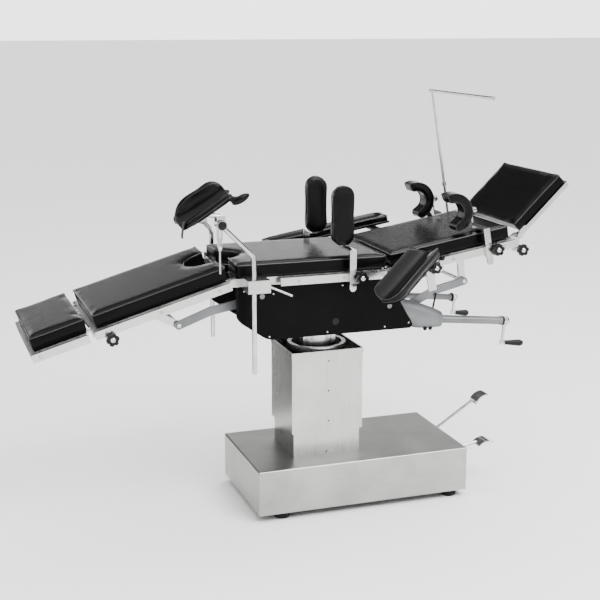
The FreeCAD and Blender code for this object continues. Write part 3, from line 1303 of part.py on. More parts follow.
def crutch_pad_place(side):
    """The middle of the trough's axis, with X along the calf and Z out of the opening."""
    tilt = Rotation(Vector(0, 1, 0), -float(d.crutch_pad_tilt))
    roll = Rotation(Vector(1, 0, 0), -side * float(d.crutch_pad_roll))
    slide, rise = ((d.crutch_pad_slide, d.crutch_pad_rise) if side < 0
                   else (d.far_crutch_pad_slide, d.far_crutch_pad_rise))
    offset = tilt.multVec(Vector(float(slide), 0, float(rise)))
    return Placement(crutch_line(side)[2] + offset, tilt * roll)


# Cross-sections of the trough from the ankle to the knee: place along its axis, outer radius, and how
# far its wall reaches up on the patient's side and on the outer side, in degrees from its lowest line.
trough_sections = ((-104, 62, 20, 22), (-94, 66, 46, 42), (-68, 69, 70, 60), (-26, 70, 84, 70),
                   (30, 69, 86, 74), (78, 66, 84, 75), (98, 65, 72, 74), (112, 64, 50, 68))


def trough_section(side, x, outer, inner_reach, outer_reach):
    """One closed outline of the trough's wall with round rims."""
    wall = float(d.crutch_pad_wall)
    middle, inner = outer - wall / 2, outer - wall
    first = math.radians(-inner_reach if side > 0 else -outer_reach)
    last = math.radians(outer_reach if side > 0 else inner_reach)
    half = (first + last) / 2
    cap = wall / 2 / middle

    def at(radius, angle):
        return Vector(x, radius * math.sin(angle), -radius * math.cos(angle))

    return Part.Wire([
        Part.Arc(at(outer, first), at(outer, half), at(outer, last)).toShape(),
        Part.Arc(at(outer, last), at(middle, last + cap), at(inner, last)).toShape(),
        Part.Arc(at(inner, last), at(inner, half), at(inner, first)).toShape(),
        Part.Arc(at(inner, first), at(middle, first - cap), at(outer, first)).toShape(),
    ])


def crutch_pad(side):
    """Trough that holds the calf, with a lobe beside the knee on its outer side."""
    trough = Part.makeLoft([trough_section(side, *sizes) for sizes in trough_sections], True)
    length, depth, height = (float(d.crutch_lobe_length), float(d.crutch_lobe_depth),
                             float(d.crutch_lobe_height))
    start, middle = Vector(98, side * 51, -25), Vector(130, side * 62, -50)
    scale = FreeCAD.Matrix()
    scale.scale(Vector(length, depth, height))
    lobe = Part.makeSphere(1).transformGeometry(scale)
    lobe.Placement = Placement(middle, Rotation(Vector(0, 1, 0), 6))
    neck = Part.makeCone(float(d.crutch_pad_wall) / 2 - 1, depth - 2, (middle - start).Length, start,
                         middle - start)
    pad_shape = trough.fuse([neck, lobe])
    pad_shape.Placement = crutch_pad_place(side)
    return pad_shape


def crutch_fork(side):
    """Fork on the knuckle's pin with the stem that carries the trough."""
    tip = crutch_line(side)[2]
    half, plate = float(d.knuckle_width) / 2, float(d.crutch_fork_plate)
    radius, height = float(d.knuckle_radius), float(d.crutch_fork_height)
    across = Vector(0, 1, 0)
    pin = Part.makeCylinder(float(d.grip_pin), 2 * half, tip - Vector(0, half, 0), across)
    cheeks = [Part.makeCylinder(radius, plate, tip + Vector(0, y, 0), across) for y in (-half, half - plate)]
    plates = [Part.makeBox(2 * radius, plate, height, tip + Vector(-radius, y, 0))
              for y in (-half, half - plate)]
    bridge = Part.makeBox(2 * radius, 2 * half, 8, tip + Vector(-radius, -half, height - 8))
    knob_length = float(d.crutch_knob_length)
    knob_start = half if side > 0 else -half - knob_length
    knob = Part.makeCylinder(float(d.crutch_knob_radius), knob_length, tip + Vector(0, knob_start, 0),
                             across)
    place = crutch_pad_place(side)
    foot = tip + Vector(0, 0, height - 4)
    under = place.Base - tip_direction(place) * 60
    stem = Part.makeCylinder(float(d.crutch_stem_radius), (under - foot).Length, foot, under - foot)
    pieces = cheeks + plates + [bridge, knob, stem]
    if side < 0:
        pieces += hanging_handle(tip + Vector(-float(d.shackle_offset), -half - knob_length / 2, 0))
    return pin.multiFuse(pieces)


def hanging_handle(top):
    """Slotted shackle that hangs from the clamp screw, with a turned grip and a thin rod below it."""
    width, depth = float(d.shackle_width), float(d.shackle_depth)
    length, slot = float(d.shackle_length), float(d.shackle_slot)
    shackle = Part.makeBox(width, depth, length, top + Vector(-width / 2, -depth / 2, -length))
    gap = Part.makeBox(slot, 2 * depth, length - 8, top + Vector(-slot / 2, -depth, -length + 8))
    profile = [(0, 2), (8, 2), (8, -12), (10.5, -20), (10.5, -28), (7, -38), (3.5, -42), (3.5, -124),
               (0, -126)]
    points = [top + Vector(radius, 0, height - length) for radius, height in profile]
    turned_grip = Part.Face(Part.makePolygon(points + [points[0]])).revolve(top, Vector(0, 0, 1), 360)
    return [shackle.cut(gap), turned_grip]


def tip_direction(place):
    """The upright direction of a trough before its roll."""
    along = place.Rotation.multVec(Vector(1, 0, 0))
    return Vector(-along.z, 0, along.x)


for end, side in SIDES:
    seat_clamps.append(crutch_clamp(side))
    node("crutch_pole_" + end, crutch_pole(side))
    trough = crutch_pad(side)
    fork = sorted(crutch_fork(side).cut(trough).Solids, key=lambda solid: solid.Volume)[-1]
    node("crutch_fork_" + end, fixed_shape(fork.removeSplitter()))
    node("crutch_pad_" + end, fixed_shape(trough))
node("seat_clamps", together(*seat_clamps), seat_place)


# Anaesthesia screen


def screen_clamp():
    height = half_bar + d.clamp_lip
    half = d.clamp_length / 2
    x = d.screen_along
    block = side_box(1, x - half, d.clamp_back, -height, d.clamp_length, d.screen_y + d.screen_rod + 6,
                     2 * height)
    groove = side_box(1, x - half - 1, d.clamp_back - 1, -half_bar, d.clamp_length + 2, rail_outer,
                      d.bar_height)
    bore = rod("z", x, d.screen_y, -height - 1, d.screen_rod + d.free_gap, 2 * height + 2)
    return cut(block, groove, bore)


def screen():
    """Upright rod with a collar, and the bar across the table at its top."""
    low = -d.screen_low
    upright = rod("z", d.screen_along, d.screen_y, low, d.screen_rod, d.screen_height - low)
    collar = rod("z", d.screen_along, d.screen_y, d.screen_collar, d.screen_rod + 4, size_of(14))
    start = d.screen_y + 12 - d.screen_bar
    bar = rod("y", d.screen_along, start, d.screen_height, d.screen_bar_radius, d.screen_bar)
    ends = [rod("y", d.screen_along, y, d.screen_height, d.screen_bar_radius + 1.5, size_of(10))
            for y in (start - 6, start + d.screen_bar - 4)]
    post = fuse(upright, collar)
    post.Refine = False
    return fuse(post, fuse(bar, *ends))


node("back_clamps", together(*back_clamps, arm_clamp(-1), arm_clamp(1), screen_clamp()), back_place)
node("screen", screen(), back_place)


# Clutch lever


def clutch_lever():
    """Small bent lever on a pin at the inner side of the tilt drive."""
    y = -float(d.clutch_y)
    foot = Vector(float(d.clutch_x), y, float(d.clutch_z))
    spots = [foot, foot + Vector(-4, 0, 16), foot + Vector(8, 0, 73)]
    radius = float(d.clutch_radius)
    hub = Part.makeCylinder(9, 10, foot - Vector(0, 5, 0), Vector(0, 1, 0))
    for first, second in zip(spots, spots[1:]):
        hub = hub.fuse(Part.makeCylinder(radius, (second - first).Length + 2, first, second - first))
    bore = Part.makeCylinder(4 + float(d.running_gap), 30, foot - Vector(0, 15, 0), Vector(0, 1, 0))
    return hub.cut(bore)


node("clutch_lever", fixed_shape(clutch_lever()))

# Checks and export

doc.recompute()
os.makedirs("parts", exist_ok=True)
for item in doc.Objects:
    if "Invalid" in item.State or "Error" in item.State:
        raise RuntimeError("%s (%s) failed: %s %s" % (item.Name, item.Label, item.State,
                                                      item.getStatusString()))
for item in nodes:
    if item.Shape.isNull() or not item.Shape.isValid():
        raise RuntimeError("bad shape: " + item.Label)
for item in nodes:
    item.Shape.exportStep("parts/%s.step" % item.Label)
    bounds = item.Shape.BoundBox
    print("%-20s solids %d volume %9.0f  x %6.0f %6.0f  y %6.0f %6.0f  z %6.0f %6.0f" % (
        item.Label, len(item.Shape.Solids), item.Shape.Volume, bounds.XMin, bounds.XMax,
        bounds.YMin, bounds.YMax, bounds.ZMin, bounds.ZMax))
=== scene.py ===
import math
import bmesh
import bpy
import numpy as np
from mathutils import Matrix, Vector
from mathutils.bvhtree import BVHTree


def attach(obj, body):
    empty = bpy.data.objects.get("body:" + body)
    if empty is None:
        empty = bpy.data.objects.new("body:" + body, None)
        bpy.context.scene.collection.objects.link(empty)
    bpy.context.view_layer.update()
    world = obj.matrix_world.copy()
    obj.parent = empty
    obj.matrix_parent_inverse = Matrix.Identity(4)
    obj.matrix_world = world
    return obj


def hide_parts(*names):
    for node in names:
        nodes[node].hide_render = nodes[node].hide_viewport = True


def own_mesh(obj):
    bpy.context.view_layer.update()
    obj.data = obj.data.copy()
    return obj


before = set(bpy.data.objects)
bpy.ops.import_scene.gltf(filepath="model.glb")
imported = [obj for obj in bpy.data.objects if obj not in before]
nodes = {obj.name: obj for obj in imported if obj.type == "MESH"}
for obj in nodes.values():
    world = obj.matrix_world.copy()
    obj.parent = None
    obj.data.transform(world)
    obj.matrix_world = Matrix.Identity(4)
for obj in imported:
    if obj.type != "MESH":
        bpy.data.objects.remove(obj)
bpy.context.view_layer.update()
print("frame loaded:", len(nodes), "nodes")

# a section's hinge line in metres and its slope in degrees
sections = {
    "seat": (0.0, 0.96, 0.0),
    "back": (0.086, 0.96, 9.5),
    "leg": (-0.538, 0.96, 16.2),
    "head": (0.65770, 1.07595, 44.0),
}


def toWorld(points, section):
    # turns points by the section's slope about Y and moves them to its hinge line
    x0, z0, slope = sections[section]
    c, s = math.cos(math.radians(slope)), math.sin(math.radians(slope))
    p = np.asarray(points, float)
    return np.stack([x0 + p[..., 0] * c - p[..., 2] * s, p[..., 1], z0 + p[..., 0] * s + p[..., 2] * c], -1)


def turnAbout(axis, degrees):
    # the matrix of a turn about one axis: the other two mix by cosine and sine
    c, s = math.cos(math.radians(degrees)), math.sin(math.radians(degrees))
    first, second = [(1, 2), (2, 0), (0, 1)]["xyz".index(axis)]
    matrix = np.eye(3)
    matrix[first, first] = matrix[second, second] = c
    matrix[first, second], matrix[second, first] = -s, s
    return matrix


def toSection(points, section):
    # the way back from world places to a section's own axes
    x0, z0, slope = sections[section]
    c, s = math.cos(math.radians(slope)), math.sin(math.radians(slope))
    p = np.asarray(points, float) - np.array([x0, 0, z0])
    return np.stack([p[..., 0] * c + p[..., 2] * s, p[..., 1], -p[..., 0] * s + p[..., 2] * c], -1)


# materials


def hexToLinear(text):
    # sRGB hex to linear red, green, blue and alpha: each channel to the power 2.4 above the toe
    srgb = np.array([int(text[i:i + 2], 16) / 255 for i in (1, 3, 5)])
    linear = np.where(srgb <= 0.04045, srgb / 12.92, ((srgb + 0.055) / 1.055) ** 2.4)
    return (*linear.tolist(), 1.0)


def addNode(tree, kind, settings=None, inputs=None):
    # adds a node, sets its properties and sets or links its inputs
    node = tree.nodes.new(kind)
    for key, value in (settings or {}).items():
        setattr(node, key, value)
    for key, value in (inputs or {}).items():
        if isinstance(value, bpy.types.NodeSocket):
            tree.links.new(value, node.inputs[key])
        else:
            node.inputs[key].default_value = value
    return node


def newMaterial(name):
    material = bpy.data.materials.new(name)
    material.use_nodes = True
    tree = material.node_tree
    tree.nodes.clear()
    place = addNode(tree, "ShaderNodeTexCoord").outputs["Object"]
    return material, tree, place


def finishMaterial(tree, shader):
    addNode(tree, "ShaderNodeOutputMaterial", inputs={"Surface": shader.outputs["BSDF"]})


def colourRamp(tree, factor, low, high, start=0.3, end=0.7):
    ramp = addNode(tree, "ShaderNodeValToRGB", inputs={"Fac": factor})
    for stop, spot, colour in zip(ramp.color_ramp.elements, (start, end), (low, high)):
        stop.position = spot
        stop.color = hexToLinear(colour)
    return ramp.outputs["Color"]


def greyRamp(tree, factor, low, high):
    # spreads a 0 to 1 pattern over a range of values
    spread = addNode(tree, "ShaderNodeMapRange", inputs={"Value": factor, "To Min": low, "To Max": high})
    return spread.outputs["Result"]


def brushedStainless(name, grain, look):
    # grade 304 sheet, brushed: long fine scratches along one axis that stretch the highlights
    material, tree, place = newMaterial(name)
    # scratches 0.5 mm across, drawn as 2 mm so that they show, and 200 mm long
    stretched = addNode(tree, "ShaderNodeMapping", inputs={"Vector": place,
                                                           "Scale": grain}).outputs["Vector"]
    lines = addNode(tree, "ShaderNodeTexNoise", inputs={"Vector": stretched, "Scale": 1.0, "Detail": 6.0,
                                                        "Roughness": 0.7}).outputs["Fac"]
    clouds = addNode(tree, "ShaderNodeTexNoise", inputs={"Vector": place, "Scale": 7.0,
                                                         "Detail": 3.0}).outputs["Fac"]
    mixed = addNode(tree, "ShaderNodeMath", {"operation": "ADD"}, {0: lines, 1: clouds}).outputs[0]
    half = addNode(tree, "ShaderNodeMath", {"operation": "MULTIPLY"}, {0: mixed, 1: 0.5}).outputs[0]
    bump = addNode(tree, "ShaderNodeBump", inputs={"Height": lines, "Strength": look["bump"],
                                                   "Distance": 0.0004}).outputs["Normal"]
    shader = addNode(tree, "ShaderNodeBsdfPrincipled", inputs={
        "Base Color": colourRamp(tree, half, look["dark"], look["light"]), "Metallic": 1.0,
        "Roughness": greyRamp(tree, half, look["smooth"], look["rough"]), "Normal": bump})
    finishMaterial(tree, shader)
    return material


def polishedSteel(name, look):
    # chrome-plated or polished bar: mirror bright, with faint wiping marks
    material, tree, place = newMaterial(name)
    smears = addNode(tree, "ShaderNodeTexNoise", inputs={"Vector": place, "Scale": 30.0,
                                                         "Detail": 4.0}).outputs["Fac"]
    shader = addNode(tree, "ShaderNodeBsdfPrincipled", inputs={
        "Base Color": colourRamp(tree, smears, look["dark"], look["light"]), "Metallic": 1.0,
        "Roughness": greyRamp(tree, smears, look["smooth"], look["rough"])})
    finishMaterial(tree, shader)
    return material


def enamel(name, look):
    # stoved paint on metal: an even film with slight orange peel, glossy to satin
    material, tree, place = newMaterial(name)
    # orange peel about 2 mm from crest to crest
    peel = addNode(tree, "ShaderNodeTexNoise", inputs={"Vector": place, "Scale": 420.0,
                                                       "Detail": 2.0}).outputs["Fac"]
    wear = addNode(tree, "ShaderNodeTexNoise", inputs={"Vector": place, "Scale": 9.0,
                                                       "Detail": 5.0}).outputs["Fac"]
    bump = addNode(tree, "ShaderNodeBump", inputs={"Height": peel, "Strength": look["bump"],
                                                   "Distance": 0.0002}).outputs["Normal"]
    shader = addNode(tree, "ShaderNodeBsdfPrincipled", inputs={
        "Base Color": colourRamp(tree, wear, look["dark"], look["light"]), "Metallic": look["metallic"],
        "Roughness": greyRamp(tree, wear, look["smooth"], look["rough"]),
        "Specular IOR Level": look["gloss"], "Normal": bump})
    finishMaterial(tree, shader)
    return material


def coatedFabric(name, look):
    # polyurethane-coated fabric: small pebble grain, satin, with soft broad highlights
    material, tree, place = newMaterial(name)
    # pebbles 0.8 mm wide, drawn as 1.6 mm so that they show
    pebbles = addNode(tree, "ShaderNodeTexVoronoi", {"feature": "DISTANCE_TO_EDGE"},
                      {"Vector": place, "Scale": 620.0}).outputs["Distance"]
    creases = addNode(tree, "ShaderNodeTexNoise", inputs={"Vector": place, "Scale": 26.0, "Detail": 4.0,
                                                          "Distortion": 0.6}).outputs["Fac"]
    broad = addNode(tree, "ShaderNodeTexNoise", inputs={"Vector": place, "Scale": 5.0,
                                                        "Detail": 2.0}).outputs["Fac"]
    grain = addNode(tree, "ShaderNodeBump", inputs={"Height": pebbles, "Strength": 0.18,
                                                    "Distance": 0.0006}).outputs["Normal"]
    bump = addNode(tree, "ShaderNodeBump", inputs={"Height": creases, "Strength": 0.12, "Distance": 0.002,
                                                   "Normal": grain}).outputs["Normal"]
    shader = addNode(tree, "ShaderNodeBsdfPrincipled", inputs={
        "Base Color": colourRamp(tree, broad, look["dark"], look["light"]),
        "Roughness": greyRamp(tree, creases, look["smooth"], look["rough"]),
        "Specular IOR Level": look["gloss"], "Normal": bump})
    finishMaterial(tree, shader)
    return material


def wovenStrap(name, look):
    # nylon webbing: fine ribs across the band every 1.5 mm, matt with a faint sheen
    material, tree, place = newMaterial(name)
    ribs = addNode(tree, "ShaderNodeTexWave", {"bands_direction": "Z"},
                   {"Vector": place, "Scale": 105.0, "Distortion": 0.4}).outputs["Fac"]
    bump = addNode(tree, "ShaderNodeBump", inputs={"Height": ribs, "Strength": 0.5,
                                                   "Distance": 0.0006}).outputs["Normal"]
    # the colour follows the ribs' relief and is darker in the valleys between them: painted shade
    shader = addNode(tree, "ShaderNodeBsdfPrincipled", inputs={
        "Base Color": colourRamp(tree, ribs, look["dark"], look["light"]),
        "Roughness": greyRamp(tree, ribs, look["smooth"], look["rough"]), "Normal": bump})
    finishMaterial(tree, shader)
    return material


def mouldedPlastic(name, look):
    # injection-moulded phenolic or ABS: fine spark-eroded texture, rubbed smooth on the lobes
    material, tree, place = newMaterial(name)
    texture = addNode(tree, "ShaderNodeTexNoise", inputs={"Vector": place, "Scale": 900.0,
                                                          "Detail": 2.0}).outputs["Fac"]
    rub = addNode(tree, "ShaderNodeTexNoise", inputs={"Vector": place, "Scale": 22.0,
                                                      "Detail": 3.0}).outputs["Fac"]
    bump = addNode(tree, "ShaderNodeBump", inputs={"Height": texture, "Strength": 0.2,
                                                   "Distance": 0.0002}).outputs["Normal"]
    shader = addNode(tree, "ShaderNodeBsdfPrincipled", inputs={
        "Base Color": colourRamp(tree, rub, look["dark"], look["light"]),
        "Roughness": greyRamp(tree, rub, look["smooth"], look["rough"]),
        "Specular IOR Level": look["gloss"], "Normal": bump})
    finishMaterial(tree, shader)
    return material


materials = {
    "baseSheet": brushedStainless("stainlessSheetBase", (6.0, 500.0, 500.0),
                                  {"dark": "#8f8f8d", "light": "#b4b4b2", "smooth": 0.26, "rough": 0.42,
                                   "bump": 0.12}),
    "columnSheet": brushedStainless("stainlessSheetColumn", (500.0, 500.0, 6.0),
                                    {"dark": "#a2a2a0", "light": "#c4c4c2", "smooth": 0.22, "rough": 0.34,
                                     "bump": 0.12}),
    "flatBar": brushedStainless("stainlessFlatBar", (8.0, 600.0, 600.0),
                                {"dark": "#b0b0af", "light": "#d2d2d1", "smooth": 0.16, "rough": 0.28,
                                 "bump": 0.1}),
    "chrome": polishedSteel("chromePlate", {"dark": "#a9aaac", "light": "#cacbcc", "smooth": 0.05,
                                            "rough": 0.12}),
    "silverEnamel": enamel("silverStoveEnamel", {"dark": "#5f6163", "light": "#747678", "metallic": 0.6,
                                                 "smooth": 0.3, "rough": 0.4, "bump": 0.25, "gloss": 0.4}),
    "blackEnamel": enamel("blackStoveEnamel", {"dark": "#030303", "light": "#060606", "metallic": 0.0,
                                               "smooth": 0.3, "rough": 0.42, "bump": 0.2, "gloss": 0.05}),
    "darkIron": enamel("blackedIron", {"dark": "#0c0d0e", "light": "#161718", "metallic": 0.5,
                                       "smooth": 0.38, "rough": 0.55, "bump": 0.3, "gloss": 0.3}),
    "cover": coatedFabric("polyurethaneCover", {"dark": "#030303", "light": "#060606", "smooth": 0.2,
                                                "rough": 0.3, "gloss": 0.07}),
    "softCover": coatedFabric("polyurethaneCoverGlossy", {"dark": "#020202", "light": "#050505",
                                                          "smooth": 0.18, "rough": 0.28, "gloss": 0.12}),
    # the piping is the cover's vinyl, coloured lighter than the cover: a painted highlight along the seamed
    # top edges
    "piping": coatedFabric("polyurethanePipingPaintedHighlight", {"dark": "#0a0a0b", "light": "#121213", "smooth": 0.16,
                                                  "rough": 0.26, "gloss": 0.5}),
    "blackPlastic": mouldedPlastic("blackPhenolic", {"dark": "#030303", "light": "#080808", "smooth": 0.2,
                                                     "rough": 0.34, "gloss": 0.2}),
    "webbing": wovenStrap("nylonWebbing", {"dark": "#040404", "light": "#0c0c0d", "smooth": 0.5,
                                           "rough": 0.7}),
    "rubber": mouldedPlastic("blackRubber", {"dark": "#060606", "light": "#0d0d0d", "smooth": 0.6,
                                             "rough": 0.8, "gloss": 0.2}),
}
nodeFinish = {
    "base_cover": "baseSheet", "base_plate": "darkIron", "base_feet": "rubber",
    "column_cover": "columnSheet", "column_sleeve": "columnSheet", "sleeve_top": "blackEnamel",
    "tilt_head": "flatBar",
    "tilt_cross": "darkIron", "housing_covers": "blackEnamel", "seat_frame": "flatBar",
    "seat_rails": "flatBar", "back_frame": "flatBar", "back_rails": "flatBar", "leg_frame": "flatBar",
    "leg_rails": "flatBar", "foot_frame": "flatBar", "head_frame": "flatBar", "leg_lever": "silverEnamel",
    "leg_link": "flatBar", "back_lever": "silverEnamel", "back_link": "flatBar",
    "tilt_drive": "silverEnamel", "back_drive": "silverEnamel", "tilt_crank": "chrome",
    "back_crank": "chrome", "clutch_lever": "darkIron",
    "tilt_crank_grip": "blackPlastic", "back_crank_grip": "blackPlastic", "lift_pedal": "chrome",
    "release_pedal": "chrome", "seat_clamps": "flatBar", "back_clamps": "flatBar", "screen": "chrome",
    "foot_knobs": "blackPlastic", "head_knobs": "blackPlastic", "side_knobs": "blackPlastic",
    "shoulder_knobs": "blackPlastic",
}
for name, node in nodes.items():
    finish = nodeFinish.get(name)
    if finish is None:
        finish = "chrome" if "pole" in name or "fork" in name or "strip" in name else "cover"
    if name.startswith("arm_tray"):
        finish = "blackEnamel"
    node.data.materials.clear()
    node.data.materials.append(materials[finish])
print("materials ready:", len(materials))


# mesh helpers


def gridFaces(rows, columns, closeRows=False, closeColumns=False):
    # quads between the points of a grid of rows by columns, joined round where asked
    index = np.arange(rows * columns).reshape(rows, columns)
    if closeRows:
        index = np.vstack([index, index[:1]])
    if closeColumns:
        index = np.hstack([index, index[:, :1]])
    quads = np.stack([index[:-1, :-1], index[:-1, 1:], index[1:, 1:], index[1:, :-1]], -1)
    return quads.reshape(-1, 4)


def addPiece(name, points, faces, finish, body, subdivide=0, replaces=()):
    # puts points and faces into a smooth mesh that rides on a body
    mesh = bpy.data.meshes.new(name)
    corners = np.asarray(points).reshape(-1, 3).tolist()
    mesh.from_pydata(corners, [], [list(map(int, face)) for face in faces])
    shell = bmesh.new()
    shell.from_mesh(mesh)
    bmesh.ops.remove_doubles(shell, verts=shell.verts, dist=1e-6)
    bmesh.ops.recalc_face_normals(shell, faces=shell.faces)
    shell.to_mesh(mesh)
    shell.free()
    mesh.polygons.foreach_set("use_smooth", np.ones(len(mesh.polygons), bool))
    mesh.materials.append(materials[finish])
    piece = bpy.data.objects.new(name, mesh)
    bpy.context.scene.collection.objects.link(piece)
    if subdivide:
        rounding = piece.modifiers.new("rounding", "SUBSURF")
        rounding.levels = subdivide
        rounding.render_levels = subdivide
    if replaces:
        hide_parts(*replaces)
    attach(piece, body)
    return piece


def tubeAlong(path, radius, sides=8, closed=True):
    # a tube: at each point of the path a circle stands across the path's direction
    path = np.asarray(path, float)
    if closed:
        along = np.roll(path, -1, 0) - np.roll(path, 1, 0)
    else:
        along = np.gradient(path, axis=0)
    along /= np.linalg.norm(along, axis=1)[:, None]
    side = np.cross(along, np.array([0.13, 0.21, 0.97]))
    side /= np.linalg.norm(side, axis=1)[:, None]
    up = np.cross(side, along)
    turn = np.linspace(0, 2 * np.pi, sides, endpoint=False)
    ring = side[:, None] * np.cos(turn)[None, :, None] + up[:, None] * np.sin(turn)[None, :, None]
    points = path[:, None] + ring * radius
    faces = gridFaces(len(path), sides, closed, True).tolist()
    if not closed:
        faces.append(list(range(sides)))
        faces.append([(len(path) - 1) * sides + i for i in range(sides)][::-1])
    return points.reshape(-1, 3), faces


def roundOutline(corners, radius, step=0.006):
    # a closed path through corners with arcs of one radius, sampled at even steps
    corners = np.asarray(corners, float)
    path = []
    for i, corner in enumerate(corners):
        before, after = corners[i - 1], corners[(i + 1) % len(corners)]
        first = (before - corner) / np.linalg.norm(before - corner)
        second = (after - corner) / np.linalg.norm(after - corner)
        t = np.linspace(0, 1, 5)[:, None]
        start, end = corner + first * radius, corner + second * radius
        path.append((1 - t) ** 2 * start + 2 * t * (1 - t) * corner + t ** 2 * end)
    path = np.vstack(path)
    return evenSteps(path, step)


def evenSteps(path, step):
    # the same closed path with points at even distances
    loop = np.vstack([path, path[:1]])
    run = np.concatenate([[0], np.cumsum(np.linalg.norm(np.diff(loop, axis=0), axis=1))])
    spots = np.linspace(0, run[-1], max(8, int(run[-1] / step)), endpoint=False)
    return np.stack([np.interp(spots, run, loop[:, k]) for k in range(loop.shape[1])], -1)


# mattresses: foam blocks in sewn covers with a piped upper edge

mattresses = {
    "seat": {"node": "seat_mattress", "body": "table", "section": "seat", "fill": 0.75, "notch": "lens",
             "box": ((-0.522, 0.085), (0.018, 0.072))},
    "back": {"node": "back_mattress", "body": "back", "section": "back", "fill": 0.75, "notch": None,
             "box": ((0.0142, 0.544), (0.018, 0.072))},
    "leg": {"node": "leg_mattress", "body": "leg", "section": "leg", "fill": 0.75, "notch": "bay",
            "box": ((-0.533, -0.006), (0.018, 0.072))},
    "foot": {"node": "foot_mattress", "body": "foot", "section": "leg", "fill": 0.75, "notch": None,
             "box": ((-0.770, -0.555), (0.018, 0.072))},
    "head": {"node": "head_mattress", "body": "head", "section": "head", "fill": 0.75, "notch": None,
             "box": ((0.004, 0.291), (0.011, 0.056))},
}
# cell size, how far the block shrinks before it swells, inner pressure, frames, largest move, rounds of
# evening out, and the radius of the piping
stuffing = {"voxel": 0.006, "shrink": 0.0035, "pressure": 4.0, "frames": 20, "cap": 0.006, "calm": 8,
            "halfWidth": 0.238, "piping": 0.0026, "pipingDrop": 0.004}
padding = {"voxel": 0.004, "shrink": 0.003, "pressure": 4.0, "frames": 20, "cap": 0.0045, "calm": 4,
           "piping": 0.0017}
weave = {"quality": 4, "mass": 0.3, "stretch": 30, "bend": 2}


def evaluatedCopy(piece):
    view = bpy.context.evaluated_depsgraph_get()
    return bpy.data.meshes.new_from_object(piece.evaluated_get(view))


def readPoints(mesh):
    points = np.empty(len(mesh.vertices) * 3)
    mesh.vertices.foreach_get("co", points)
    return points.reshape(-1, 3)


def blockFromNode(name, node, voxel):
    # a merged copy of a CAD node's mesh, remeshed to even cells
    shell = bmesh.new()
    shell.from_mesh(nodes[node].data)
    bmesh.ops.remove_doubles(shell, verts=shell.verts, dist=1e-5)
    mesh = bpy.data.meshes.new(name)
    shell.to_mesh(mesh)
    shell.free()
    block = bpy.data.objects.new(name, mesh)
    bpy.context.scene.collection.objects.link(block)
    cells = block.modifiers.new("cells", "REMESH")
    cells.mode = "VOXEL"
    cells.voxel_size = voxel
    block.data = evaluatedCopy(block)
    block.modifiers.clear()
    return block


def inflate(block, filling):
    # cloth with inner pressure, for a few frames, and no point moved further than the cap
    mesh = block.data
    start = readPoints(mesh)
    normals = np.empty(len(mesh.vertices) * 3)
    mesh.vertices.foreach_get("normal", normals)
    small = start - normals.reshape(-1, 3) * filling["shrink"]
    mesh.vertices.foreach_set("co", small.ravel())
    mesh.update()
    cloth = block.modifiers.new("filling", "CLOTH")
    cloth.settings.quality = weave["quality"]
    cloth.settings.mass = weave["mass"]
    cloth.settings.tension_stiffness = weave["stretch"]
    cloth.settings.compression_stiffness = weave["stretch"]
    cloth.settings.bending_stiffness = weave["bend"]
    cloth.settings.use_pressure = True
    cloth.settings.uniform_pressure_force = filling["pressure"]
    cloth.settings.effector_weights.gravity = 0
    cloth.point_cache.frame_end = filling["frames"]
    for number in range(1, filling["frames"] + 1):
        bpy.context.scene.frame_set(number)
    swollen = evaluatedCopy(block)
    move = readPoints(swollen) - small
    length = np.linalg.norm(move, axis=1)[:, None]
    move *= np.minimum(1, filling["cap"] / np.maximum(length, 1e-9))
    # fine ripples are evened out: each move becomes the mean of its own and its neighbours'
    edges = np.empty(len(mesh.edges) * 2, int)
    mesh.edges.foreach_get("vertices", edges)
    first, second = edges[::2], edges[1::2]
    share = 1 + np.bincount(edges, minlength=len(move))[:, None]
    for _ in range(filling["calm"]):
        total = move.copy()
        np.add.at(total, first, move[second])
        np.add.at(total, second, move[first])
        move = total / share
    block.modifiers.clear()
    mesh.vertices.foreach_set("co", (small + move).ravel())
    mesh.update()
    bpy.context.scene.frame_set(1)
    return block


# the opening between seat and leg cushion: two arcs that meet in a point, and a half circle
opening = {"lensRadius": 0.18, "lensBack": 0.0946, "lensShift": 0.06, "lensHalf": 0.093, "lensDepth": 0.075,
           "bayRadius": 0.094, "bayBack": 0.004}


def notchPath(kind, edge):
    # the edge of the opening in one cushion, from the near side to the far side
    if kind == "lens":
        back, shift, radius = opening["lensBack"], opening["lensShift"], opening["lensRadius"]
        start = math.atan2(-opening["lensHalf"] - shift, back)
        end = math.atan2(-shift, back + opening["lensDepth"])
        turn = start + (end - start) * np.linspace(0, 1, 24)
        near = np.stack([edge - back + radius * np.cos(turn), shift + radius * np.sin(turn)], -1)
        return np.vstack([near, near[::-1] * [1, -1]])
    radius = opening["bayRadius"]
    turn = np.linspace(-np.pi / 2, -3 * np.pi / 2, 48)
    return np.stack([edge - opening["bayBack"] + radius * np.cos(turn), radius * np.sin(turn)], -1)


def mattressOutline(item):
    (low, high), _ = item["box"]
    half = stuffing["halfWidth"] - 0.002
    if item["notch"] == "lens":
        side = np.array([[low + 0.002, half], [high, half], [high, -half], [low + 0.002, -half]])
        return evenSteps(np.vstack([side, notchPath("lens", low)]), 0.006)
    if item["notch"] == "bay":
        side = np.array([[high - 0.002, half], [low, half], [low, -half], [high - 0.002, -half]])
        return evenSteps(np.vstack([side, notchPath("bay", high)]), 0.006)
    return roundOutline([(low, -half), (high, -half), (high, half), (low, half)], 0.007)


def dressCushion(block, node, body):
    rounding = block.modifiers.new("rounding", "SUBSURF")
    rounding.levels = 1
    rounding.render_levels = 1
    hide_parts(node)
    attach(block, body)


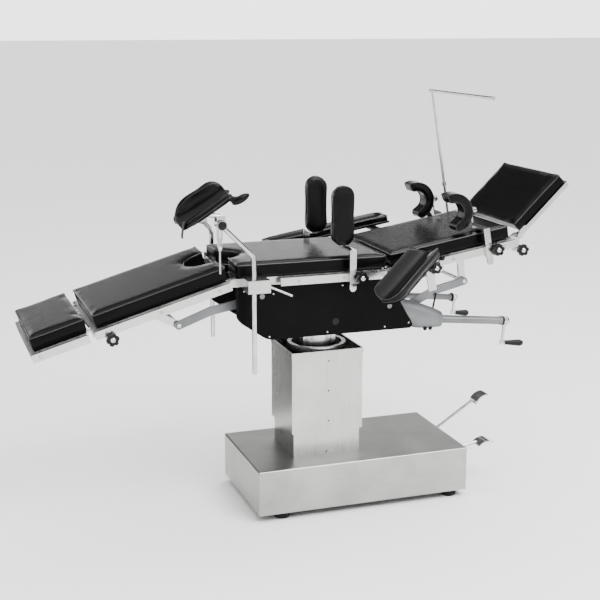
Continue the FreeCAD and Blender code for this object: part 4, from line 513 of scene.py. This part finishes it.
def layPiping(name, block, wanted, radius, body):
    # a cord along the points of the swollen cover that are nearest to a wanted line, evened out
    mesh = block.data
    surface = BVHTree.FromPolygons(readPoints(mesh).tolist(), [list(p.vertices) for p in mesh.polygons])
    laid = np.array([tuple(surface.find_nearest(Vector(spot))[0]) for spot in wanted])
    for _ in range(2):
        laid = (np.roll(laid, 1, 0) + 2 * laid + np.roll(laid, -1, 0)) / 4
    path, faces = tubeAlong(laid, radius)
    return addPiece(name, path, faces, "piping", body)


def makeMattress(name, item):
    block = inflate(blockFromNode(name + "Cushion", item["node"], stuffing["voxel"]), stuffing)
    mesh = block.data
    points = toSection(readPoints(mesh), item["section"])
    (low, high), (floor, top) = item["box"]
    # the cushion lies flat on its board and keeps its width between the side bars
    points[:, 2] = np.maximum(points[:, 2], floor)
    points[:, 1] = np.clip(points[:, 1], -stuffing["halfWidth"] - 0.002, stuffing["halfWidth"] + 0.002)
    points[:, 0] = np.clip(points[:, 0], low - 0.001, high + 0.001)
    mesh.vertices.foreach_set("co", toWorld(points, item["section"]).ravel())
    mesh.update()
    mesh.polygons.foreach_set("use_smooth", np.ones(len(mesh.polygons), bool))
    mesh.materials.clear()
    mesh.materials.append(materials["cover"])
    dressCushion(block, item["node"], item["body"])
    outline = mattressOutline(item)
    height = np.full(len(outline), top - stuffing["pipingDrop"])
    wanted = toWorld(np.column_stack([outline, height]), item["section"])
    piping = layPiping(name + "Piping", block, wanted, stuffing["piping"], item["body"])
    return block, piping


for name, item in mattresses.items():
    cushion, piping = makeMattress(name, item)
    if name == "seat":
        for soft in (cushion, piping):
            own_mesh(soft)
    print("mattress", name, len(cushion.data.polygons))


# shaped pads of the side, shoulder, arm and leg supports


def arcLoop(centre, radius, start, end, count):
    # points of a circle from one angle to another, in degrees
    turn = np.radians(np.linspace(start, end, count))
    return np.stack([centre[0] + radius * np.cos(turn), centre[1] + radius * np.sin(turn)], -1)


def stadiumLoop(low, high, x, half):
    # two straight sides joined by half circles at the top and the bottom
    top, bottom = arcLoop((x, high), half, 0, 180, 24), arcLoop((x, low), half, 180, 360, 24)
    return evenSteps(np.vstack([top, bottom]), 0.005)


def crescentLoop(x, z, outer, inner, first, last):
    # outer arc, flat top, inner arc and a round foot
    middle, half = (outer + inner) / 2, (outer - inner) / 2
    footX, footZ = x + middle * math.cos(math.radians(first)), z + middle * math.sin(math.radians(first))
    foot = arcLoop((footX, footZ), half, first + 180, first + 360, 16)
    away, back = arcLoop((x, z), outer, first, last, 40), arcLoop((x, z), inner, last, first, 30)
    return evenSteps(np.vstack([away, back, foot]), 0.005)


supports = {
    "sidePad": {"x": -0.072, "low": 0.147, "high": 0.295, "half": 0.046, "near": 0.136, "far": 0.164,
                "dome": 0.009},
    "shoulderPad": {"x": 0.320, "z": 0.163, "outer": 0.084, "inner": 0.042, "first": -72, "last": 104,
                    "y": 0.180, "reach": 0.030},
    "nearArm": {"post": (0.178, -0.290, 0.046), "swing": 31, "drop": -28, "roll": -5, "end": -0.279,
                "start": -0.032, "half": 0.066, "levels": (0.0235, 0.060)},
    "farArm": {"post": (0.178, 0.290, 0.046), "start": -0.477, "end": 0.083, "middle": 0.09825,
               "half": 0.0625, "corner": 0.02, "levels": (0.0185, 0.0435), "hollow": 0.011},
    "crutch": {"tilt": -30, "roll": 24, "nearTip": (-0.602, -0.300, 1.198), "nearShift": (-0.024, 0.118),
               "farTip": (-0.513, 0.300, 1.118), "farShift": (-0.002, 0.107), "wall": 0.020},
}
# the trough from ankle to knee: place along it, outer radius, reach of its wall in degrees on the
# patient's side and on the outer side
troughSections = np.array([(-0.104, 0.062, 20, 22), (-0.094, 0.066, 46, 42), (-0.068, 0.069, 70, 60),
                           (-0.026, 0.070, 84, 70), (0.030, 0.069, 86, 74), (0.078, 0.066, 84, 75),
                           (0.098, 0.065, 72, 74), (0.112, 0.064, 50, 68)])


def nearArmToWorld(points):
    # the board rolls about its length, drops and swings about the post
    arm = supports["nearArm"]
    turn = turnAbout("z", arm["swing"]) @ turnAbout("y", arm["drop"]) @ turnAbout("x", arm["roll"])
    return np.asarray(points) @ turn.T + toWorld(arm["post"], "back")


def farArmToWorld(points):
    return toWorld(np.asarray(points) + supports["farArm"]["post"], "back")


def troughToWorld(points, side):
    # the trough rolls towards the patient, tilts and stands above the knuckle of its pole
    crutch = supports["crutch"]
    tip, (slide, rise) = ((crutch["nearTip"], crutch["nearShift"]) if side < 0
                          else (crutch["farTip"], crutch["farShift"]))
    tilt = turnAbout("y", crutch["tilt"])
    origin = np.array(tip) + tilt @ np.array([slide, 0, rise])
    return np.asarray(points) @ (tilt @ turnAbout("x", -side * crutch["roll"])).T + origin


def troughRim(side, inwards):
    # along one rim to the knee, round under the knee, back along the other rim and round under the ankle
    along = np.linspace(troughSections[0, 0], troughSections[-1, 0], 60)
    outer = np.interp(along, troughSections[:, 0], troughSections[:, 1]) - inwards
    patient = np.radians(np.interp(along, troughSections[:, 0], troughSections[:, 2]))
    outside = np.radians(np.interp(along, troughSections[:, 0], troughSections[:, 3]))
    first = np.stack([along, -side * outer * np.sin(patient), -outer * np.cos(patient)], -1)
    second = np.stack([along, side * outer * np.sin(outside), -outer * np.cos(outside)], -1)
    ends = []
    for spot, back in ((-1, False), (0, True)):
        angles = np.linspace(-patient[spot], outside[spot], 24)[1:-1]
        angles = angles[::-1] if back else angles
        ends.append(np.stack([np.full(22, along[spot]), side * outer[spot] * np.sin(angles),
                              -outer[spot] * np.cos(angles)], -1))
    return evenSteps(np.vstack([first, ends[0], second[::-1], ends[1]]), 0.005)


def armLoop(level):
    # a straight board with a half-round end at the hand
    arm = supports["nearArm"]
    half = arm["half"] - 0.001
    hand = arcLoop((arm["end"], 0), half, 90, 270, 40)
    outline = evenSteps(np.vstack([hand, [(arm["start"], -half), (arm["start"], half)]]), 0.006)
    return nearArmToWorld(np.column_stack([outline, np.full(len(outline), level)]))


def farLoop(level):
    arm = supports["farArm"]
    low, high = arm["middle"] - arm["half"] + 0.001, arm["middle"] + arm["half"] - 0.001
    corners = [(arm["start"], low), (arm["end"], low), (arm["end"], high), (arm["start"], high)]
    outline = roundOutline(corners, arm["corner"])
    return farArmToWorld(np.column_stack([outline, np.full(len(outline), level)]))


def hollowTop(block):
    # the far board's top sinks by a parabola across its width
    arm = supports["farArm"]
    points = readPoints(block.data)
    local = toSection(points, "back") - np.array(arm["post"])
    share = np.clip(1 - ((local[:, 1] - arm["middle"]) / (arm["half"] * 0.84)) ** 2, 0, 1)
    ends = np.clip((np.minimum(local[:, 0] - arm["start"], arm["end"] - local[:, 0]) - 0.006) / 0.03, 0, 1)
    local[:, 2] -= np.where(local[:, 2] > 0.034, arm["hollow"] * share * ends, 0)
    block.data.vertices.foreach_set("co", toWorld(local + np.array(arm["post"]), "back").ravel())
    block.data.update()


def bulgeBack(block):
    # the outer face domes over the strip that carries the pad
    rest = supports["sidePad"]
    points = readPoints(block.data)
    depth = np.abs(points[:, 1]) - rest["far"]
    across = np.clip(1 - ((points[:, 0] - rest["x"]) / rest["half"]) ** 2, 0, 1)
    points[:, 1] += np.sign(points[:, 1]) * np.where(depth > 0, rest["dome"] * across ** 0.25, 0)
    block.data.vertices.foreach_set("co", points.ravel())
    block.data.update()


def makePad(name, node, body, loops, shape=None):
    block = blockFromNode(name, node, padding["voxel"])
    if shape:
        shape(block)
    block = inflate(block, padding)
    mesh = block.data
    mesh.polygons.foreach_set("use_smooth", np.ones(len(mesh.polygons), bool))
    mesh.materials.clear()
    mesh.materials.append(materials["softCover"])
    dressCushion(block, node, body)
    for number, loop in enumerate(loops, 1):
        layPiping("%sPiping%d" % (name, number), block, loop, padding["piping"], body)
    print("pad", name, len(mesh.polygons))


for end, side in (("near", -1), ("far", 1)):
    rest = supports["sidePad"]
    loop = stadiumLoop(rest["low"], rest["high"], rest["x"], rest["half"] - 0.001)
    loops = [toWorld(np.column_stack([loop[:, 0], np.full(len(loop), side * rest[y]), loop[:, 1]]), "seat")
             for y in ("near", "far")]
    makePad("sidePad" + end.title(), "side_pad_" + end, "side_" + end, loops, bulgeBack)
    rest = supports["shoulderPad"]
    loop = crescentLoop(rest["x"], rest["z"], rest["outer"] - 0.001, rest["inner"] + 0.001, rest["first"],
                        rest["last"])
    levels = [np.full(len(loop), side * rest["y"] + step * rest["reach"]) for step in (-1, 1)]
    loops = [toWorld(np.column_stack([loop[:, 0], level, loop[:, 1]]), "back") for level in levels]
    makePad("shoulderPad" + end.title(), "shoulder_pad_" + end, "shoulder_" + end, loops)
    makePad("crutchTrough" + end.title(), "crutch_pad_" + end, "crutch_" + end,
            [troughToWorld(troughRim(side, 0.0), side),
             troughToWorld(troughRim(side, supports["crutch"]["wall"]), side)])
nearLoops = [armLoop(z) for z in supports["nearArm"]["levels"]]
farLoops = [farLoop(z) for z in supports["farArm"]["levels"]]
makePad("armPadNear", "arm_pad_near", "arm_near", nearLoops)
makePad("armPadFar", "arm_pad_far", "arm_far", farLoops, hollowTop)


# small metal and plastic parts


def lathe(profile, origin, axis, sides=24):
    # a radius and height profile carried round an axis
    profile = np.asarray(profile, float)
    axis = np.asarray(axis, float) / np.linalg.norm(axis)
    side = np.cross(axis, (0.21, 0.34, 0.9))
    side /= np.linalg.norm(side)
    up = np.cross(axis, side)
    turn = np.linspace(0, 2 * np.pi, sides, endpoint=False)
    ring = side * np.cos(turn)[:, None] + up * np.sin(turn)[:, None]
    points = (np.asarray(origin) + profile[:, 0, None, None] * ring[None]
              + profile[:, 1, None, None] * axis)
    return points.reshape(-1, 3), gridFaces(len(profile), sides, False, True)


def manyLathes(profile, places, sides=16):
    # the same turned shape at several places, each with its own axis
    allPoints, allFaces, offset = [], [], 0
    for origin, axis in places:
        points, faces = lathe(profile, origin, axis, sides)
        allPoints.append(points)
        allFaces.append(faces + offset)
        offset += len(points)
    return np.vstack(allPoints), np.vstack(allFaces)


# radius and height of each turned part's outline
turnings = {
    "studCap": [(0, 0.0052), (0.0036, 0.0048), (0.0062, 0.0036), (0.0074, 0.0018), (0.0088, 0.0016),
                (0.0092, 0.0008), (0.0092, -0.0006), (0, -0.0006)],
    "railRing": [(0.0042, -0.0003), (0.0042, 0.0005), (0.0049, 0.0009), (0.0056, 0.0005), (0.0056, -0.0003),
                 (0.0042, -0.0003)],
    "screwHead": [(0, 0.0019), (0.0017, 0.0017), (0.0030, 0.0010), (0.0036, 0), (0.0036, -0.0006),
                  (0, -0.0006)],
    "boltHead": [(0, -0.0090), (0.0060, -0.0088), (0.0068, -0.0080), (0.0068, -0.0030), (0.0090, -0.0026),
                 (0.0090, -0.0010), (0.0090, 0.0020), (0, 0.0020)],
    "knuckleCap": [(0, 0.0160), (0.0105, 0.0158), (0.0158, 0.0146), (0.0182, 0.0120), (0.0187, 0.0080),
                   (0.0187, 0.0006), (0.0120, 0.0002), (0, 0.0002)],
}


def facing(spots, section, y):
    # the same places on both sides of the table, looking outwards
    places = []
    for x, z in spots:
        for side in (-1, 1):
            places.append((toWorld((x, side * y, z), section), (0, side, 0)))
    return places


# body, finish and turned shape of each set, and its places
details = {
    "sideStuds": ("table", "chrome", "studCap", facing([(-0.043, 0)], "seat", 0.3003)),
    "shoulderStuds": ("back", "chrome", "studCap", facing([(0.452, 0)], "back", 0.3003)),
    "footStuds": ("leg", "chrome", "studCap", facing([(-0.489, -0.028)], "leg", 0.287)),
    "headStuds": ("back", "chrome", "studCap", facing([(0.571, -0.032)], "back", 0.275)),
    "seatRailRings": ("table", "darkIron", "railRing",
                      facing([(-0.287, 0), (-0.104, 0), (0.056, 0)], "seat", 0.262)),
    "backRailRings": ("back", "darkIron", "railRing",
                      facing([(0.04, 0), (0.27, 0), (0.495, 0)], "back", 0.262)),
    "legRailRings": ("leg", "darkIron", "railRing",
                     facing([(-0.06, 0), (-0.29, 0), (-0.50, 0)], "leg", 0.262)),
    "footRailRings": ("foot", "darkIron", "railRing", facing([(-0.747, 0)], "leg", 0.262)),
    "housingScrews": ("table", "chrome", "screwHead",
                      facing([(-0.491, -0.034), (-0.375, -0.052), (-0.096, -0.038), (-0.392, -0.218),
                              (-0.157, -0.218), (0.082, -0.216), (0.184, -0.208)], "seat", 0.222)),
    "sleeveScrews": ("lift", "darkIron", "screwHead",
                     facing([(-0.118, -0.362), (-0.118, -0.485), (-0.118, -0.610)], "seat", 0.1335)),
    "coverScrews": ("base", "darkIron", "screwHead", facing([(-0.124, -0.741)], "seat", 0.1255)),
}
for name, (body, finish, shape, places) in details.items():
    points, faces = manyLathes(turnings[shape], places)
    addPiece(name, points, faces, finish, body)
for end, side in (("near", -1), ("far", 1)):
    tip = np.array(supports["crutch"][end + "Tip"]) + (0, side * 0.0222, 0)
    points, faces = lathe(turnings["knuckleCap"], tip, (0, side, 0), 32)
    addPiece("knuckleCap" + end.title(), points, faces, "blackPlastic", "crutch_" + end)
print("small parts ready")


crankBands = {
    "radius": 0.0187, "slope": 6,
    "tiltCrankBand": {"start": (0.338, -0.180, 0.745), "along": 0.2845},
    "backCrankBand": {"start": (0.338, 0.180, 0.765), "along": 0.2285},
}


def crankBand(start, along, radius):
    # a rubber band round the tube's end, with rounded edges
    slope = math.radians(crankBands["slope"])
    axis = np.array([math.cos(slope), 0, -math.sin(slope)])
    profile = [(radius - 0.003, -0.0045), (radius, -0.0040), (radius + 0.0006, 0), (radius, 0.0040),
               (radius - 0.003, 0.0045), (radius - 0.003, -0.0045)]
    return lathe(profile, np.array(start) + axis * along, axis, 32)


for name in ("tiltCrankBand", "backCrankBand"):
    points, faces = crankBand(crankBands[name]["start"], crankBands[name]["along"], crankBands["radius"])
    addPiece(name, points, faces, "rubber", "table")

# knob and ball lever on the rail clamp of each arm board
armClamp = {"knobX": 0.164, "knobY": 0.313, "knobRadius": 0.0235, "knobThick": 0.022, "lobes": 6,
            "swell": 0.10, "root": (0.186, 0.300, 0.012), "tip": (0.199, 0.318, 0.030), "rod": 0.004,
            "ball": 0.0105}
# radius and height of the knob's outline, as shares of its own
knobProfile = np.array([(0.35, 1.0), (0.72, 1.0), (0.93, 0.9), (1.0, 0.62), (1.0, 0.3), (0.92, 0.06),
                        (0.6, 0.0), (0.35, 0.0), (0.35, 1.0)])


def starKnob(origin, side):
    # a lathe whose radius swells and shrinks as a cosine of the turn, six times round
    turn = np.linspace(0, 2 * np.pi, 72, endpoint=False)
    swell = 1 + armClamp["swell"] * np.cos(armClamp["lobes"] * turn)
    share, height = knobProfile[:, 0, None], knobProfile[:, 1, None]
    reach = share * armClamp["knobRadius"] * np.where(share > 0.65, swell, 1)
    depth = np.broadcast_to(origin[1] + side * height * armClamp["knobThick"], reach.shape)
    points = np.stack([origin[0] + reach * np.cos(turn), depth, origin[2] + reach * np.sin(turn)], -1)
    return points.reshape(-1, 3), gridFaces(len(knobProfile), 72, False, True)


for end, side in (("near", -1), ("far", 1)):
    centre = toWorld((armClamp["knobX"], side * armClamp["knobY"], 0), "back")
    points, faces = starKnob(centre, side)
    addPiece("armKnob" + end.title(), points, faces, "blackPlastic", "back")
    root, tip = (toWorld(np.array(armClamp[spot]) * (1, side, 1), "back") for spot in ("root", "tip"))
    rod = np.array([(0, 0), (armClamp["rod"], 0), (armClamp["rod"], 1.0), (0, 1.0)])
    points, faces = lathe(rod * (1, np.linalg.norm(tip - root)), root, tip - root, 12)
    addPiece("armLever" + end.title(), points, faces, "chrome", "back")
    turn = np.linspace(-np.pi / 2, np.pi / 2, 13)
    ball = armClamp["ball"] * np.stack([np.cos(turn), np.sin(turn)], -1)
    points, faces = lathe(ball, tip, (0, 0, 1), 24)
    addPiece("armLeverBall" + end.title(), points, faces, "blackPlastic", "back")
# two bolts under the near crank's casting
places = [((x, -0.195, 0.7165), (0, 0, 1)) for x in (0.268, 0.291)]
points, faces = manyLathes(turnings["boltHead"], places, 12)
addPiece("castingBolts", points, faces, "darkIron", "table")


# a webbing strap: places of its middle line (x, z), and its fold, width and thickness
strapCut = {"line": ((-0.735, 1.2180), (-0.742, 1.2120), (-0.7435, 1.2000), (-0.7438, 1.1860),
                     (-0.7450, 1.1720), (-0.7455, 1.1580)),
            "y": -0.318, "fold": 0.0012, "width": 0.025, "length": 0.062, "thick": 0.0022}


def strapStub():
    # a flat band: its middle line leaves the trough's end and hangs straight down, with a small fold
    line = np.array(strapCut["line"])
    steps = np.linspace(0, len(line) - 1, 24)
    line = np.stack([np.interp(steps, np.arange(len(line)), line[:, k]) for k in range(2)], -1)
    wave = strapCut["fold"] * np.sin(np.linspace(0, 5, 24))
    across = np.linspace(-strapCut["width"] / 2, strapCut["width"] / 2, 6)
    points = np.stack([np.broadcast_to((line[:, 0] + wave)[:, None], (24, 6)),
                       strapCut["y"] + np.broadcast_to(across, (24, 6)),
                       np.broadcast_to(line[:, 1, None], (24, 6))], -1)
    return points.reshape(-1, 3), gridFaces(24, 6)


points, faces = strapStub()
strap = addPiece("ankleStrap", points, faces, "webbing", "crutch_near")
thickness = strap.modifiers.new("thickness", "SOLIDIFY")
thickness.thickness = strapCut["thick"]
thickness.offset = 0
print("straps, bands and knobs ready")


# studio

viewpoint = {"lens": 73.26, "sensor": 36, "place": (-1.745, -4.507, 1.914), "tilt": 77.11, "turn": -19}
camera = bpy.data.cameras.new("camera")
camera.lens = viewpoint["lens"]
camera.sensor_width = viewpoint["sensor"]
cameraObject = bpy.data.objects.new("camera", camera)
cameraObject.location = viewpoint["place"]
cameraObject.rotation_euler = (math.radians(viewpoint["tilt"]), 0, math.radians(viewpoint["turn"]))
bpy.context.scene.collection.objects.link(cameraObject)
bpy.context.scene.camera = cameraObject

studio = {
    "floor": "#fdfdfc", "floorSize": 120.0, "worldStrength": 3.2,
    # brightness of the surroundings against the sine of the height above the horizon
    "sky": ((0.0, "#ffffff"), (0.185, "#ffffff"), (0.225, "#3c3c3c"), (0.62, "#505050"), (0.80, "#ffffff")),
    "key": {"place": (1.6, -3.4, 4.4), "size": 3.2, "power": 420},
    "fill": {"place": (-4.0, -2.5, 2.4), "size": 2.2, "power": 60},
    "back": {"place": (1.8, 3.4, 5.4), "size": 2.4, "power": 90},
    "card": {"x": (-3.2, -0.50), "y": 1.0, "z": (0.002, 0.9), "colour": "#040404"},
}
floorMesh = bpy.data.meshes.new("floor")
reach = studio["floorSize"]
floorMesh.from_pydata([(-reach, -reach, 0), (reach, -reach, 0), (reach, reach, 0), (-reach, reach, 0)], [],
                      [(0, 1, 2, 3)])
floorMaterial, floorTree, floorPlace = newMaterial("paleFloor")
finishMaterial(floorTree, addNode(floorTree, "ShaderNodeBsdfPrincipled", inputs={
    "Base Color": hexToLinear(studio["floor"]), "Roughness": 0.6}))
floorMesh.materials.append(floorMaterial)
floor = bpy.data.objects.new("floor", floorMesh)
bpy.context.scene.collection.objects.link(floor)
world = bpy.data.worlds.new("studioWorld")
world.use_nodes = True
skyTree = world.node_tree
skyTree.nodes.clear()
direction = addNode(skyTree, "ShaderNodeTexCoord").outputs["Generated"]
height = addNode(skyTree, "ShaderNodeSeparateXYZ", inputs={"Vector": direction}).outputs["Z"]
sky = addNode(skyTree, "ShaderNodeValToRGB", inputs={"Fac": height})
for spot, colour in studio["sky"][1:-1]:
    sky.color_ramp.elements.new(spot)
for stop, (spot, colour) in zip(sky.color_ramp.elements, studio["sky"]):
    stop.position = spot
    stop.color = hexToLinear(colour)
glow = addNode(skyTree, "ShaderNodeBackground", inputs={"Color": sky.outputs["Color"],
                                                        "Strength": studio["worldStrength"]})
addNode(skyTree, "ShaderNodeOutputWorld", inputs={"Surface": glow.outputs["Background"]})
bpy.context.scene.world = world
for name in ("key", "fill", "back"):
    lamp = bpy.data.lights.new(name, "AREA")
    lamp.size = studio[name]["size"]
    lamp.energy = studio[name]["power"]
    lampObject = bpy.data.objects.new(name, lamp)
    lampObject.location = studio[name]["place"]
    aim = Vector((-0.1, 0, 0.8)) - lampObject.location
    lampObject.rotation_euler = aim.to_track_quat("-Z", "Y").to_euler()
    bpy.context.scene.collection.objects.link(lampObject)
card = studio["card"]
(left, right), (bottom, top) = card["x"], card["z"]
cardMesh = bpy.data.meshes.new("darkCard")
cardMesh.from_pydata([(left, card["y"], bottom), (right, card["y"], bottom), (right, card["y"], top),
                      (left, card["y"], top)], [], [(0, 1, 2, 3)])
cardMaterial, cardTree, cardPlace = newMaterial("blackFelt")
finishMaterial(cardTree, addNode(cardTree, "ShaderNodeBsdfPrincipled", inputs={
    "Base Color": hexToLinear(card["colour"]), "Roughness": 0.9}))
cardMesh.materials.append(cardMaterial)
cardObject = bpy.data.objects.new("darkCard", cardMesh)
bpy.context.scene.collection.objects.link(cardObject)
# the card only darkens reflections
cardObject.visible_camera = False
cardObject.visible_diffuse = False
cardObject.visible_shadow = False
print("studio ready")
